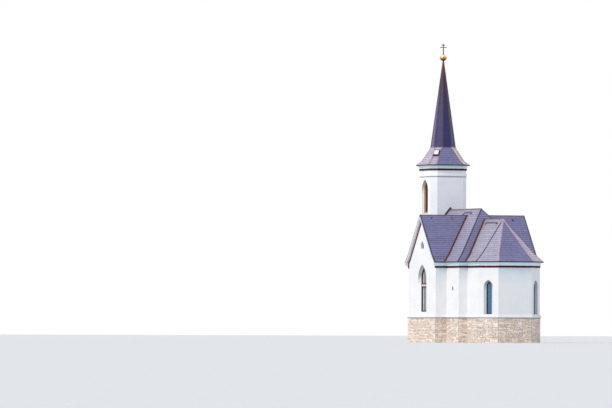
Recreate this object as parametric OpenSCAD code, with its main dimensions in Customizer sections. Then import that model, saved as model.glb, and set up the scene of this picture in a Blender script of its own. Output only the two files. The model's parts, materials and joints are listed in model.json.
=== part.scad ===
// Small white chapel: a nave with shallow gabled transepts, a lower three-sided apse
// and a tower with a slim eight-sided spire, on a rubble stone plinth.
// Millimetres, +Z up, +X along the nave towards the apse. "Left" is -Y and "right" is +Y,
// as one stands in front of the apse and looks at it.
// The origin is on the ground in the middle of the plan.

/* [Walls] */
// Thickness of the plastered masonry
wall_t = 450; // [380:10:560]
// Height of the rubble stone plinth
plinth_h = 1780; // [1500:10:1900]
// How far the plinth stands out from the plaster
plinth_out = 30; // [20:5:60]
// Height of the moulding on the plinth
moulding_h = 220; // [140:10:240]
// How far the moulding stands out from the plaster
moulding_out = 110; // [80:5:140]
// Top of the floor over the ground
floor_h = 160; // [100:10:300]

/* [Nave] */
// Width over the nave walls
nave_w = 6000; // [5600:50:6600]
// Length of the nave from the tower's face to the shoulders
nave_l = 9060; // [8800:20:10000]
// Height of the nave ridge
nave_ridge_h = 9530; // [9300:10:10200]
// Distance of the ridge's hipped end behind the shoulders
nave_hip = 3190; // [2900:10:3400]

/* [Transepts] */
// Width of a transept's gable wall
transept_w = 5180; // [4800:20:5400]
// How far a transept stands out from the nave
transept_out = 830; // [700:10:1400]
// Distance of a transept behind the shoulders
transept_back = 2300; // [2000:20:2500]
// How far the transept ridge lies under the nave's
transept_ridge_drop = 460; // [330:10:830]

/* [Apse] */
// Width over the apse's side walls
apse_w = 4700; // [4400:20:5000]
// Length of the apse in front of the shoulders
apse_l = 3070; // [2900:10:3400]
// Width of the apse's end wall
apse_end_w = 2520; // [2200:20:2700]
// How far the apse ridge lies under the nave's
apse_ridge_drop = 790; // [730:10:1230]
// Distance of the ridge's end behind the end wall
apse_hip = 2230; // [2000:10:2400]

/* [Eaves] */
// Height of the roof's edge over the ground
eave_h = 5730; // [5500:10:6000]
// How far the roof's edge stands out from the walls
eave_out = 200; // [160:10:260]
// Thickness of the roof from slates to rafters, measured upright
roof_drop = 220; // [180:10:260]
// Height of the roof's cut edge
edge_h = 60; // [40:5:80]
// Length of the flatter foot of each slope, measured level
flare_run = 560; // [300:10:700]
// Rise of that foot
flare_rise = 540; // [280:10:600]
// Height of the painted band under the eaves
band_h = 140; // [80:5:180]
// Height of the boarded cornice between band and roof
cornice_h = 240; // [200:5:300]
// How far the band stands out from the walls
band_out = 40; // [20:5:60]
// Width of the gutters
gutter_w = 50; // [40:5:90]
// Height of the gutters
gutter_h = 80; // [60:5:90]
// Width of the metal on ridges, hips and valleys
flashing_w = 120; // [90:10:200]
// Thickness of that metal with its folds, measured upright
flashing_t = 20; // [12:2:30]
// Diameter of the roll on the ridges
roll_d = 60; // [50:5:100]

/* [Tower] */
// Width over the tower's walls
tower_w = 2800; // [2600:20:3000]
// Cut of the tower's chamfered corners
tower_cut = 400; // [300:10:500]
// Height of the tower roof's edge
tower_eave_h = 12780; // [12600:20:13600]
// How far the string course's foot lies under the roof's edge
string_drop = 850; // [780:10:900]
// Height of the string course
string_h = 200; // [140:10:220]
// Height of the tower's cornice
tower_cornice_h = 220; // [160:10:230]
// Height of the tower's gutter
tower_gutter_h = 130; // [90:5:150]

/* [Spire] */
// Height of the skirt roof from its edge to the spire's foot
skirt_h = 1270; // [1120:20:1620]
// Width of the spire's foot across its flats
spire_w = 1660; // [1500:20:1760]
// Height from the spire's foot to the point where its sides would meet
spire_h = 6530; // [5750:20:7150]
// Diameter of the ball
ball_d = 490; // [400:10:560]
// Height of the cross from the ball to its top
cross_h = 745; // [640:5:900]

/* [Windows] */
// Width of a transept window outside
transept_window_w = 1640; // [1400:20:1760]
// Width of its frame
transept_frame_w = 1080; // [960:20:1200]
// Top of a transept window outside
transept_window_top = 5540; // [5300:10:5640]
// Height of its frame's foot over the moulding
transept_frame_rise = 190; // [100:10:240]
// Width of an apse window outside
apse_window_w = 700; // [640:20:800]
// Width of its frame
apse_frame_w = 400; // [340:10:500]
// Top of an apse window outside
apse_window_top = 4420; // [4200:10:4600]
// Height of its frame's foot over the moulding
apse_frame_rise = 20; // [10:10:120]
// Depth of the plastered reveal in front of a frame
reveal_d = 160; // [120:10:200]
// Width of a belfry opening outside
belfry_w = 1160; // [1000:20:1240]
// Width of its louvres
louvre_w = 800; // [700:20:900]
// Distance of the louvres behind the wall's face
louvre_back = 220; // [160:10:260]
// Distance from one louvre blade to the next
louvre_step = 125; // [110:5:150]
// How far the point of a belfry opening lies under the string course
belfry_drop = 210; // [130:10:430]
// Height of a belfry opening from its sill to its point
belfry_h = 2450; // [2220:10:2520]
// Height of the lower one of the two bars across a transept window
transom_z = 3930; // [3600:10:4400]
// Distance from that bar to the upper one
transom_gap = 205; // [140:5:260]
// Foot of the niche in a transept gable
niche_z = 6680; // [6500:10:6900]
// Foot of the vent in the nave's side wall
vent_z = 3700; // [3500:10:4000]

/* [Door] */
// Width of the doorway
door_w = 1000; // [900:10:1100]
// Height of the doorway's point over the floor
door_top = 2400; // [2250:10:2600]
// Width of the archway between tower and nave
arch_w = 1400; // [1200:20:1500]
// Height of the archway's point over the floor
arch_top = 2800; // [2600:20:3200]
// Width of the doorstep
step_w = 1300; // [1200:20:1600]
// Depth of the doorstep
step_d = 350; // [300:10:450]

/* [Hidden] */

// Plan: all x values are measured from the shoulders, the nave's end towards the apse
nave_y = nave_w / 2;
transept_y = nave_y + transept_out;
transept_x1 = -transept_back;
transept_x0 = -transept_back - transept_w;
transept_x = (transept_x0 + transept_x1) / 2;
apse_y = apse_w / 2;
apse_end_y = apse_end_w / 2;
apse_cut_x = apse_l - (apse_y - apse_end_y);
tower_x1 = -nave_l;
tower_x0 = -nave_l - tower_w;
tower_x = (tower_x0 + tower_x1) / 2;
back_x = tower_x1 - wall_t;
gutter_out = eave_out + gutter_w;
// Plain wall left between the moulding and the doorway
door_margin = 100;
// The origin is in the middle of the plan, with its gutters and its doorstep
plan_x = (apse_l + gutter_out + tower_x0 - max(gutter_out, plinth_out + step_d)) / 2;
// A corner of two faces that meet at 135 degrees moves by this share when both move out
corner = tan(22.5);
// Long enough to pass through the whole building
far = 40000;
// Cuts start a little before a face and end a little past it
over = 10;
// Facets of an arch or a round part
round_n = 96;
// The lower ridges keep their distance from the nave's
transept_ridge_h = nave_ridge_h - transept_ridge_drop;
apse_ridge_h = nave_ridge_h - apse_ridge_drop;
edge_z = eave_h - edge_h;
tower_edge_z = tower_eave_h - edge_h;
string_z = tower_eave_h - string_drop;
belfry_point = string_z - belfry_drop;
belfry_sill = belfry_point - belfry_h;
spire_z = tower_eave_h + skirt_h;
spire_tip_h = spire_z + spire_h;
band_z = edge_z - cornice_h - band_h;
tower_band_z = tower_edge_z - tower_cornice_h - band_h;
moulding_top = plinth_h + moulding_h;

// Everything is drawn from the shoulders and then moved to the middle of the plan
module placed() {
  translate([-plan_x, 0, 0]) children();
}

module both_sides() {
  children();
  mirror([0, 1, 0]) children();
}

// Plan outlines, grown outwards by out
module nave_plan(out = 0) {
  translate([back_x - out, -nave_y - out]) square([-back_x + 2 * out, nave_w + 2 * out]);
}

module transept_plan(out = 0) {
  translate([transept_x0 - out, -transept_y - out])
    square([transept_w + 2 * out, 2 * (transept_y + out)]);
}

function apse_points(out) = let(c = out * corner) [
  [-nave_hip, -apse_y - out],
  [apse_cut_x + c, -apse_y - out],
  [apse_l + out, -apse_end_y - c],
  [apse_l + out, apse_end_y + c],
  [apse_cut_x + c, apse_y + out],
  [-nave_hip, apse_y + out]
];

module apse_plan(out = 0) {
  polygon(apse_points(out));
}

// Right half of the outline over nave, transepts and apse, its gables moved out by end
function body_half(out, end) = let(c = out * corner) [
  [apse_l + out, apse_end_y + c],
  [apse_cut_x + c, apse_y + out],
  [out, apse_y + out],
  [out, nave_y + out],
  [transept_x1 + out, nave_y + out],
  [transept_x1 + out, transept_y + end],
  [transept_x0 - out, transept_y + end],
  [transept_x0 - out, nave_y + out],
  [back_x - end, nave_y + out]
];

// The half outline goes on round the tower to the doorway
function tower_half(out) = let(flat = tower_w / 2 - tower_cut + out * corner) [
  [back_x - out, tower_w / 2 + out],
  [tower_x - flat, tower_w / 2 + out],
  [tower_x0 - out, flat],
  [tower_x0 - out, door_w / 2 + door_margin]
];

function other_side(half) = [for (p = half) [p[0], -p[1]]];
function back_to_front(half) = [for (i = [len(half) - 1 : -1 : 0]) half[i]];
function whole(half) = concat(half, other_side(back_to_front(half)));
function right_to_left(half) = concat(back_to_front(half), other_side(half));
function part_of(list, first, last) = [for (i = [first : last]) list[i]];

function cut_square(half, cut) = [
  [half, -half + cut], [half, half - cut],
  [half - cut, half], [-half + cut, half],
  [-half, half - cut], [-half, -half + cut],
  [-half + cut, -half], [half - cut, -half]
];

function grown_cut(out) = tower_cut + out * (2 - sqrt(2));

module tower_plan(out = 0) {
  translate([tower_x, 0]) polygon(cut_square(tower_w / 2 + out, grown_cut(out)));
}

module body_plan(out = 0, end = 0) {
  polygon(whole(body_half(out, end)));
}

// The rooms inside
module rooms() {
  nave_plan(-wall_t);
  transept_plan(-wall_t);
  apse_plan(-wall_t);
}

module tower_room() {
  half = tower_w / 2 - wall_t;
  translate([tower_x - half, -half]) square(2 * half);
}

module upright(z0, z1) {
  translate([0, 0, z0]) linear_extrude(z1 - z0) children();
}

// A solid through outlines of equal length, from the lowest to the highest: [outline, z]
module loft(sections) {
  n = len(sections[0][0]);
  m = len(sections);
  points = [for (s = sections) for (p = s[0]) [p[0], p[1], s[1]]];
  foot = [for (i = [0 : n - 1]) i];
  head = [for (i = [n - 1 : -1 : 0]) n * (m - 1) + i];
  sides = [
    for (k = [0 : m - 2]) for (i = [0 : n - 1]) let(j = (i + 1) % n)
      [n * k + i, n * k + n + i, n * k + n + j, n * k + j]
  ];
  polyhedron(points, concat([foot, head], sides), convexity = 8);
}

// Profiles are lists of [distance out of the wall, z], from the lowest to the highest
module tower_profile(profile) {
  difference() {
    translate([tower_x, 0, 0])
      loft([for (p = profile) [cut_square(tower_w / 2 + p[0], grown_cut(p[0])), p[1]]]);
    upright(-over, far) tower_plan();
  }
}

// A profile run along a wall: for each of its corners the path of that corner, [path, z].
// Paths go clockwise round the building, and the profile goes up outside and down on the wall.
module run_along(paths) {
  n = len(paths[0][0]);
  m = len(paths);
  points = [for (i = [0 : n - 1]) for (s = paths) [s[0][i][0], s[0][i][1], s[1]]];
  start = [for (j = [0 : m - 1]) j];
  stop = [for (j = [m - 1 : -1 : 0]) m * (n - 1) + j];
  sides = [
    for (i = [0 : n - 2]) for (j = [0 : m - 1]) let(k = (j + 1) % m)
      [m * i + j, m * i + m + j, m * i + m + k, m * i + k]
  ];
  polyhedron(points, concat([start, stop], sides), convexity = 8);
}

function onto_wall(profile) =
  concat(profile, [[0, profile[len(profile) - 1][1]], [0, profile[0][1]]]);

// The eaves run round the apse from transept to transept, and behind each transept
module eaves_profile(profile, end) {
  run_along([
    for (p = onto_wall(profile))
      [right_to_left(part_of(body_half(p[0], end), 0, 5)), p[1]]
  ]);
  both_sides() run_along([
    for (p = onto_wall(profile)) [back_to_front(part_of(body_half(p[0], end), 6, 8)), p[1]]
  ]);
}

// Roof forms: one slope as a solid under its surface, facing away from its own ridge
module slope(run, rise, foot) {
  rotate([90, 0, 0]) linear_extrude(far, center = true) polygon([
    [-far / 2, foot],
    [run, foot],
    [run, eave_h],
    [run - flare_run, eave_h + flare_rise],
    [0, eave_h + rise],
    [-far / 2, eave_h + rise]
  ]);
}

module gable_form(run, rise, foot) {
  intersection() {
    slope(run, rise, foot);
    rotate([0, 0, 180]) slope(run, rise, foot);
  }
}

module nave_form(foot = edge_z) {
  intersection() {
    rotate([0, 0, 90]) gable_form(nave_y + eave_out, nave_ridge_h - eave_h, foot);
    translate([-nave_hip, 0, 0]) slope(nave_hip + eave_out, nave_ridge_h - eave_h, foot);
    upright(-far, far) nave_plan(eave_out);
  }
}

module transept_form(foot = edge_z) {
  intersection() {
    translate([transept_x, 0, 0])
      gable_form(transept_w / 2 + eave_out, transept_ridge_h - eave_h, foot);
    upright(-far, far) transept_plan(eave_out);
  }
}

// The apse's slopes all rise to one point, the end of its ridge
module apse_form(foot = edge_z) {
  rise = apse_ridge_h - eave_h;
  peak = apse_l - apse_hip;
  cut_run = (apse_l + eave_out - peak + apse_end_y + eave_out * corner) / sqrt(2);
  intersection() {
    rotate([0, 0, 90]) gable_form(apse_y + eave_out, rise, foot);
    translate([peak, 0, 0]) {
      intersection() {
        slope(apse_hip + eave_out, rise, foot);
        rotate([0, 0, 45]) slope(cut_run, rise, foot);
        rotate([0, 0, -45]) slope(cut_run, rise, foot);
      }
    }
    upright(-far, far) apse_plan(eave_out);
  }
}

module roof_forms() {
  nave_form();
  transept_form();
  apse_form();
}

// All that is under the rafters, down to the ground
module under_roof() {
  translate([0, 0, -roof_drop]) {
    nave_form(0);
    transept_form(0);
    apse_form(0);
  }
}

module under_rafters() {
  intersection() {
    children();
    under_roof();
  }
}

module tower_solid(out = 0) {
  upright(-over, tower_edge_z) tower_plan(out);
}

// A pointed arch over straight jambs: its foot at 0, its point at top, arcs of 0.75 of the width
module lancet(w, top) {
  r = 0.75 * w;
  rise = sqrt(r * w - w * w / 4);
  translate([-w / 2, 0]) square([w, top - rise]);
  translate([0, top - rise]) intersection() {
    translate([r - w / 2, 0]) circle(r, $fn = round_n);
    translate([w / 2 - r, 0]) circle(r, $fn = round_n);
    translate([-w / 2, -over]) square([w, rise + 2 * over]);
  }
}

// Stands a shape up in a wall: its width level, its face towards +X, depth d behind the face
module in_wall(d, front = over) {
  translate([-d, 0, 0]) rotate([90, 0, 90]) linear_extrude(d + front) children();
}

// The point of a splayed opening comes down by this share of the splay at its jambs
point_drop = 0.85;

function inner_top(w, inner_w, top) = top - point_drop * (w - inner_w) / 2;

// An opening through a wall whose face is at x = 0: splayed over the depth d, straight behind.
// The inner part, which holds a frame or louvres, starts rise above the outer sill.
module splayed_cut(w, inner_w, sill, top, rise, d) {
  inner_h = inner_top(w, inner_w, top) - sill - rise;
  hull() {
    translate([0, 0, sill]) in_wall(1, 1) lancet(w, top - sill);
    translate([-d, 0, sill + rise]) in_wall(1, 0) lancet(inner_w, inner_h);
  }
  translate([0, 0, sill + rise]) in_wall(wall_t + over) lancet(inner_w, inner_h);
}

// Moves a piece of the apse's left window wall from x = 0 to its place
module on_apse_cut() {
  translate([(apse_cut_x + apse_l) / 2, -(apse_y + apse_end_y) / 2, 0])
    rotate([0, 0, -45]) children();
}

module on_left_gable() {
  translate([transept_x, -transept_y, 0]) rotate([0, 0, -90]) children();
}

// Moves a piece from x = 0 to the middle of a tower face, turned by angle
module on_tower(angle, out = 0) {
  translate([tower_x, 0, 0]) rotate([0, 0, angle])
    translate([tower_w / 2 + out, 0, 0]) children();
}

module apse_window_cut() {
  on_apse_cut() splayed_cut(apse_window_w, apse_frame_w, moulding_top, apse_window_top,
    apse_frame_rise, reveal_d);
}

module doorway() {
  on_tower(180) translate([0, 0, floor_h]) in_wall(wall_t + over, 2 * moulding_out)
    lancet(door_w, door_top);
}

module archway() {
  on_tower(0) translate([0, 0, floor_h]) in_wall(wall_t + over, 2 * moulding_out)
    lancet(arch_w, arch_top);
}

// Ground level

// The floor between tower and nave, under the archway
module passage() {
  translate([back_x, -arch_w / 2]) square([wall_t, arch_w]);
}

module floor() {
  color("gray") placed() upright(0, floor_h) {
    rooms();
    tower_room();
    passage();
  }
}

module doorstep() {
  color("gray") placed() on_tower(180, plinth_out)
    translate([0, -step_w / 2, 0]) cube([step_d, step_w, floor_h]);
}

module plinth_of() {
  upright(0, plinth_h) children();
}

module tower_plinth() {
  color("tan") placed() difference() {
    plinth_of() difference() {
      tower_plan(plinth_out);
      tower_room();
      translate([back_x, -far / 2]) square([far, far]);
    }
    doorway();
  }
}

module nave_plinth() {
  color("tan") placed() difference() {
    plinth_of() difference() {
      nave_plan(plinth_out);
      rooms();
      transept_plan(plinth_out);
      intersection() {
        tower_plan(plinth_out);
        translate([back_x - far, -far / 2]) square([far, far]);
      }
    }
    upright(-over, floor_h) passage();
    archway();
  }
}

module transept_plinths() {
  color("tan") placed() both_sides() plinth_of() difference() {
    intersection() {
      transept_plan(plinth_out);
      translate([-far / 2, -far]) square([far, far - nave_y + wall_t]);
    }
    rooms();
  }
}

module apse_plinth() {
  color("tan") placed() plinth_of() difference() {
    apse_plan(plinth_out);
    rooms();
    nave_plan(plinth_out);
  }
}

// The moulding: an upright face with a hollow weathering above it
moulding_profile = [
  [moulding_out, plinth_h],
  [moulding_out, plinth_h + 0.35 * moulding_h],
  [0.5 * moulding_out, plinth_h + 0.55 * moulding_h],
  [0.25 * moulding_out, plinth_h + 0.78 * moulding_h],
  [0.12 * moulding_out, moulding_top]
];
module plinth_moulding() {
  color("white") placed() run_along([
    for (p = onto_wall(moulding_profile))
      [right_to_left(concat(body_half(p[0], p[0]), tower_half(p[0]))), p[1]]
  ]);
}

// Apse walls: the window walls hold the corners, and the others stand square between them

apse_mitre = wall_t * corner;
// A window wall goes round each corner by this much
toothing = 60;

module apse_wall(outline) {
  under_rafters() upright(plinth_h, far) polygon(outline);
}

module apse_end_wall() {
  color("white") placed() apse_wall([
    [apse_l, -apse_end_y + toothing],
    [apse_l, apse_end_y - toothing],
    [apse_l - wall_t, apse_end_y - toothing],
    [apse_l - wall_t, -apse_end_y + toothing]
  ]);
}

module apse_window_wall() {
  difference() {
    apse_wall([
      [apse_cut_x - toothing, -apse_y],
      [apse_cut_x, -apse_y],
      [apse_l, -apse_end_y],
      [apse_l, -apse_end_y + toothing],
      [apse_l - wall_t, -apse_end_y + toothing],
      [apse_l - wall_t, -apse_end_y + apse_mitre],
      [apse_cut_x - apse_mitre, -apse_y + wall_t],
      [apse_cut_x - toothing, -apse_y + wall_t]
    ]);
    apse_window_cut();
  }
}

module apse_left_window_wall() {
  color("white") placed() apse_window_wall();
}

module apse_right_window_wall() {
  color("white") placed() mirror([0, 1, 0]) apse_window_wall();
}

module apse_side_walls() {
  color("white") placed() both_sides() apse_wall([
    [0, -apse_y],
    [apse_cut_x - toothing, -apse_y],
    [apse_cut_x - toothing, -apse_y + wall_t],
    [0, -apse_y + wall_t]
  ]);
}

// Nave walls

module nave_shoulders() {
  color("white") placed() under_rafters() both_sides() upright(plinth_h, far)
    translate([-wall_t, apse_y - wall_t]) square([wall_t, nave_y - apse_y + wall_t]);
}

module side_vent() {
  vent_w = 180;
  vent_h = 300;
  vent_d = 200;
  translate([-transept_back / 2, -nave_y, vent_z]) rotate([0, 0, -90])
    in_wall(vent_d) lancet(vent_w, vent_h);
}

module nave_side_walls() {
  color("white") placed() both_sides() difference() {
    under_rafters() upright(plinth_h, far) {
      translate([transept_x1, -nave_y]) square([transept_back - wall_t, wall_t]);
      translate([back_x + wall_t, -nave_y])
        square([transept_x0 - back_x - wall_t, wall_t]);
    }
    side_vent();
  }
}

module nave_back_gable() {
  color("white") placed() difference() {
    under_rafters() upright(plinth_h, far) translate([back_x, -nave_y]) square([wall_t, nave_w]);
    tower_solid();
  }
}

// Transept walls

module gable_niche() {
  niche_w = 560;
  niche_h = 540;
  niche_d = 200;
  translate([0, 0, niche_z]) in_wall(niche_d) lancet(niche_w, niche_h);
}

module transept_gable() {
  difference() {
    under_rafters() upright(plinth_h, far) translate([transept_x0, -transept_y])
      square([transept_w, wall_t]);
    on_left_gable() {
      splayed_cut(transept_window_w, transept_frame_w, moulding_top, transept_window_top,
        transept_frame_rise, reveal_d);
      gable_niche();
    }
  }
}

module left_transept_gable() {
  color("white") placed() transept_gable();
}

module right_transept_gable() {
  color("white") placed() mirror([0, 1, 0]) transept_gable();
}

module transept_cheeks() {
  cheek_l = transept_out;
  color("white") placed() under_rafters() both_sides() upright(plinth_h, far)
    for (x = [transept_x0, transept_x1 - wall_t])
      translate([x, -transept_y + wall_t]) square([wall_t, cheek_l]);
}

// Tower

module tower_ring() {
  upright(plinth_h, tower_edge_z) difference() {
    tower_plan();
    tower_room();
  }
}

// The sill slopes up to the louvres by this much
belfry_rise = 105;
belfry_angles = [-90, 90, 180];

module belfry_cuts() {
  for (angle = belfry_angles) on_tower(angle)
    splayed_cut(belfry_w, louvre_w, belfry_sill, belfry_point, belfry_rise, louvre_back);
}

module tower_front_wall() {
  color("white") placed() difference() {
    intersection() {
      tower_ring();
      upright(0, far) translate([tower_x0 - over, -far / 2]) square([wall_t + over, far]);
    }
    belfry_cuts();
    doorway();
  }
}

module tower_back_wall() {
  color("white") placed() difference() {
    intersection() {
      tower_ring();
      upright(0, far) translate([tower_x1 - wall_t, -far / 2]) square([wall_t + over, far]);
    }
    archway();
  }
}

module tower_side_walls() {
  color("white") placed() difference() {
    intersection() {
      tower_ring();
      upright(0, far) translate([tower_x0 + wall_t, -far / 2])
        square([tower_w - 2 * wall_t, far]);
    }
    belfry_cuts();
  }
}

// String course with a sloped foot and a weathered top
string_out = 45;

module string_course() {
  color("white") placed() tower_profile([
    [0.4 * string_out, string_z],
    [string_out, string_z + 0.25 * string_h],
    [string_out, string_z + 0.6 * string_h],
    [0.2 * string_out, string_z + string_h]
  ]);
}

// Eaves: a painted band, over it a hollow boarded cornice and then the gutter

function band_profile(z) = [[band_out, z], [band_out, z + band_h]];

module painted_bands() {
  color("maroon") placed() {
    eaves_profile(band_profile(band_z), band_out);
    tower_profile(band_profile(tower_band_z));
  }
}

// The cornice ends a little behind the roof's edge
cornice_margin = 20;
cornice_out = eave_out - cornice_margin;
cove_steps = 5;

function cove(z0, z1) = [
  for (i = [0 : cove_steps]) let(a = 90 * i / cove_steps)
    [band_out + (cornice_out - band_out) * (1 - cos(a)), z0 + (z1 - z0) * sin(a)]
];

module cornices() {
  color("lightcyan") placed() {
    eaves_profile(cove(edge_z - cornice_h, edge_z), cornice_out);
    tower_profile(cove(tower_edge_z - tower_cornice_h, tower_edge_z));
  }
}

// The gutter of the nave starts this much under the roof's edge
gutter_drop = 10;

// A gutter of height h between two outlines
module trough(z, h) {
  difference() {
    upright(z, z + h) children(0);
    upright(z - over, z + h + over) children(1);
  }
}

module gutters() {
  color("dimgray") placed() {
    trough(edge_z - gutter_drop, gutter_h) {
      body_plan(gutter_out, eave_out);
      body_plan(eave_out, eave_out + over);
    }
    trough(tower_eave_h - tower_gutter_h, tower_gutter_h) {
      tower_plan(gutter_out);
      tower_plan(eave_out);
    }
  }
}

// A layer under a gabled roof, from drop0 to drop1 below its slates, measured upright
module rake(run, rise, drop0, drop1) {
  difference() {
    translate([0, 0, -drop0]) gable_form(run, rise, 0);
    translate([0, 0, -drop1]) gable_form(run, rise, -far);
    upright(-far, band_z) square(far, center = true);
  }
}

roof_pitch = 51;
rake_h = band_h / cos(roof_pitch);
soffit_t = 25;

module transept_rake(drop0, drop1) {
  translate([transept_x, 0, 0])
    rake(transept_w / 2 + eave_out, transept_ridge_h - eave_h, drop0, drop1);
}

module back_rake(drop0, drop1) {
  rotate([0, 0, 90]) rake(nave_y + eave_out, nave_ridge_h - eave_h, drop0, drop1);
}

// Painted bands on the walls under the verges, with a short upright piece at each end
module raking_bands() {
  color("maroon") placed() {
    both_sides() {
      intersection() {
        transept_rake(roof_drop, roof_drop + rake_h);
        upright(0, far) translate([transept_x0, -transept_y - band_out])
          square([transept_w, band_out]);
      }
      for (x = [transept_x0, transept_x1 - band_h])
        translate([x, -transept_y - band_out, band_z]) cube([band_h, band_out, cornice_h]);
    }
    difference() {
      union() {
        intersection() {
          back_rake(roof_drop, roof_drop + rake_h);
          upright(0, far) translate([back_x - band_out, -nave_y]) square([band_out, nave_w]);
        }
        both_sides() translate([back_x - band_out, -nave_y, band_z])
          cube([band_out, band_h, cornice_h]);
      }
      tower_solid();
    }
  }
}

// Barge boards stand upright at the roof's ends, under its cut edge
module transept_barge_boards() {
  intersection() {
    transept_rake(edge_h, roof_drop + soffit_t);
    upright(0, far) translate([transept_x - far / 2, -transept_y - eave_out])
      square([far, cornice_margin]);
  }
}

module back_barge_boards() {
  intersection() {
    back_rake(edge_h, roof_drop + soffit_t);
    upright(0, far) translate([back_x - eave_out, -far / 2]) square([cornice_margin, far]);
  }
}

// Boards under and in front of the roof where it stands out over the gables
module verge_soffits() {
  board_w = cornice_out - band_out;
  color("lightcyan") placed() {
    both_sides() {
      intersection() {
        transept_rake(roof_drop, roof_drop + soffit_t);
        upright(0, far) translate([transept_x0, -transept_y - cornice_out])
          square([transept_w, board_w]);
      }
      transept_barge_boards();
    }
    difference() {
      union() {
        intersection() {
          back_rake(roof_drop, roof_drop + soffit_t);
          upright(0, far) translate([back_x - cornice_out, -nave_y]) square([board_w, nave_w]);
        }
        back_barge_boards();
      }
      tower_solid();
    }
  }
}

// Roofs

module nave_roof() {
  color("slategray") placed() difference() {
    nave_form();
    under_roof();
    tower_solid();
    back_barge_boards();
  }
}

module transept_roof() {
  intersection() {
    difference() {
      transept_form();
      nave_form();
      under_roof();
      transept_barge_boards();
    }
    upright(0, far) translate([-far / 2, -far]) square([far, far]);
  }
}

module left_transept_roof() {
  color("slategray") placed() transept_roof();
}

module right_transept_roof() {
  color("slategray") placed() mirror([0, 1, 0]) transept_roof();
}

module apse_roof() {
  color("slategray") placed() difference() {
    apse_form();
    nave_form();
    transept_form();
    under_roof();
  }
}

// Metal on the roof's lines: a thin layer over all slopes, kept only along these plan lines

flare_out = eave_out - flare_run;
break_h = eave_h + flare_rise;
nave_steep = (nave_ridge_h - break_h) / (nave_y + flare_out);
nave_end_steep = (nave_ridge_h - break_h) / (nave_hip + flare_out);
// Where the lower ridges run into the nave's slopes
transept_ridge_y = (nave_ridge_h - transept_ridge_h) / nave_steep;
apse_ridge_x = -nave_hip + (nave_ridge_h - apse_ridge_h) / nave_end_steep;
peak_x = apse_l - apse_hip;

module strip(line, w) {
  lap = w / 10;
  for (i = [0 : len(line) - 2]) {
    step = line[i + 1] - line[i];
    translate(line[i]) rotate(atan2(step[1], step[0]))
      translate([-lap, -w / 2]) square([norm(step) + 2 * lap, w]);
  }
}

module sheet_on_roof() {
  intersection() {
    difference() {
      translate([0, 0, flashing_t]) roof_forms();
      roof_forms();
      tower_solid();
    }
    upright(eave_h - over, far) children();
  }
}

module ridge_lines(w) {
  strip([[tower_x1 - tower_cut, 0], [-nave_hip, 0]], w);
  strip([[apse_ridge_x, 0], [peak_x, 0]], w);
  both_sides()
    strip([[transept_x, -transept_y - eave_out], [transept_x, -transept_ridge_y]], w);
}

module roll(x, y, z, l, angle) {
  translate([x, y, z]) rotate([0, 0, angle]) rotate([0, 90, 0])
    cylinder(l, roll_d / 2, roll_d / 2, $fn = round_n);
}

module ridge_caps() {
  color("brown") placed() {
    sheet_on_roof() ridge_lines(flashing_w);
    difference() {
      union() {
        roll(tower_x1, 0, nave_ridge_h, nave_l - nave_hip, 0);
        roll(apse_ridge_x, 0, apse_ridge_h, peak_x - apse_ridge_x, 0);
        both_sides() roll(transept_x, -transept_y - eave_out, transept_ridge_h,
          transept_y + eave_out - transept_ridge_y, 90);
      }
      roof_forms();
    }
  }
}

module hip_flashings() {
  color("brown") placed() difference() {
    sheet_on_roof() both_sides() {
      strip([[-nave_hip, 0], [flare_out, -nave_y - flare_out], [eave_out, -nave_y - eave_out]],
        flashing_w);
      for (i = [1, 2])
        strip([[peak_x, 0], apse_points(flare_out)[i], apse_points(eave_out)[i]], flashing_w);
    }
    upright(eave_h - over, far) ridge_lines(flashing_w);
  }
}

module valley_gutters() {
  color("brown") placed() difference() {
    sheet_on_roof() both_sides() {
      for (side = [-1, 1])
        strip([
          [transept_x, -transept_ridge_y],
          [transept_x + side * (transept_w / 2 + flare_out), -nave_y - flare_out],
          [transept_x + side * (transept_w / 2 + eave_out), -nave_y - eave_out]
        ], flashing_w);
      strip([[apse_ridge_x, 0], [flare_out, -apse_y - flare_out], [eave_out, -apse_y - eave_out]],
        flashing_w);
    }
    upright(eave_h - over, far) ridge_lines(flashing_w);
  }
}

// The tower's roofs are lofts through squares with cut corners: [half width, cut, z]
function eight(half) = half * (2 - sqrt(2));

module rings(list) {
  loft([for (r = list) [cut_square(r[0], r[1]), r[2]]]);
}

skirt_half = tower_w / 2 + eave_out;
skirt_flare_run = 330;
skirt_flare_rise = 290;
skirt_mid_half = skirt_half - skirt_flare_run;
skirt_mid_cut = 380;
skirt_mid_z = tower_eave_h + skirt_flare_rise;
spire_half = spire_w / 2;
cap_drop = 1090;
cap_top_drop = 300;
cap_z = spire_tip_h - cap_drop;
cap_top_z = spire_tip_h - cap_top_drop;

function spire_half_at(z) = spire_half * (spire_tip_h - z) / (spire_tip_h - spire_z);

// The skirt's corner faces reach out farther than its main faces, so they meet the spire higher
skirt_top_drop = 180;
skirt_top_z = spire_z - skirt_top_drop;
skirt_top_half = spire_half_at(skirt_top_z);
corner_step = 136;
skirt_top_cut = 2 * skirt_top_half - sqrt(2) * (spire_half + corner_step);

function skirt_rings(foot) = [
  [skirt_half, grown_cut(eave_out), foot],
  [skirt_half, grown_cut(eave_out), tower_eave_h],
  [skirt_mid_half, skirt_mid_cut, skirt_mid_z],
  [skirt_top_half, skirt_top_cut, skirt_top_z],
  [spire_half, eight(spire_half), spire_z]
];

module skirt_roof() {
  color("slategray") placed() translate([tower_x, 0, 0]) difference() {
    rings(skirt_rings(tower_edge_z));
    translate([0, 0, -roof_drop]) rings(concat(skirt_rings(tower_edge_z - over),
      [[spire_half, eight(spire_half), spire_z + 2 * roof_drop]]));
  }
}

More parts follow.
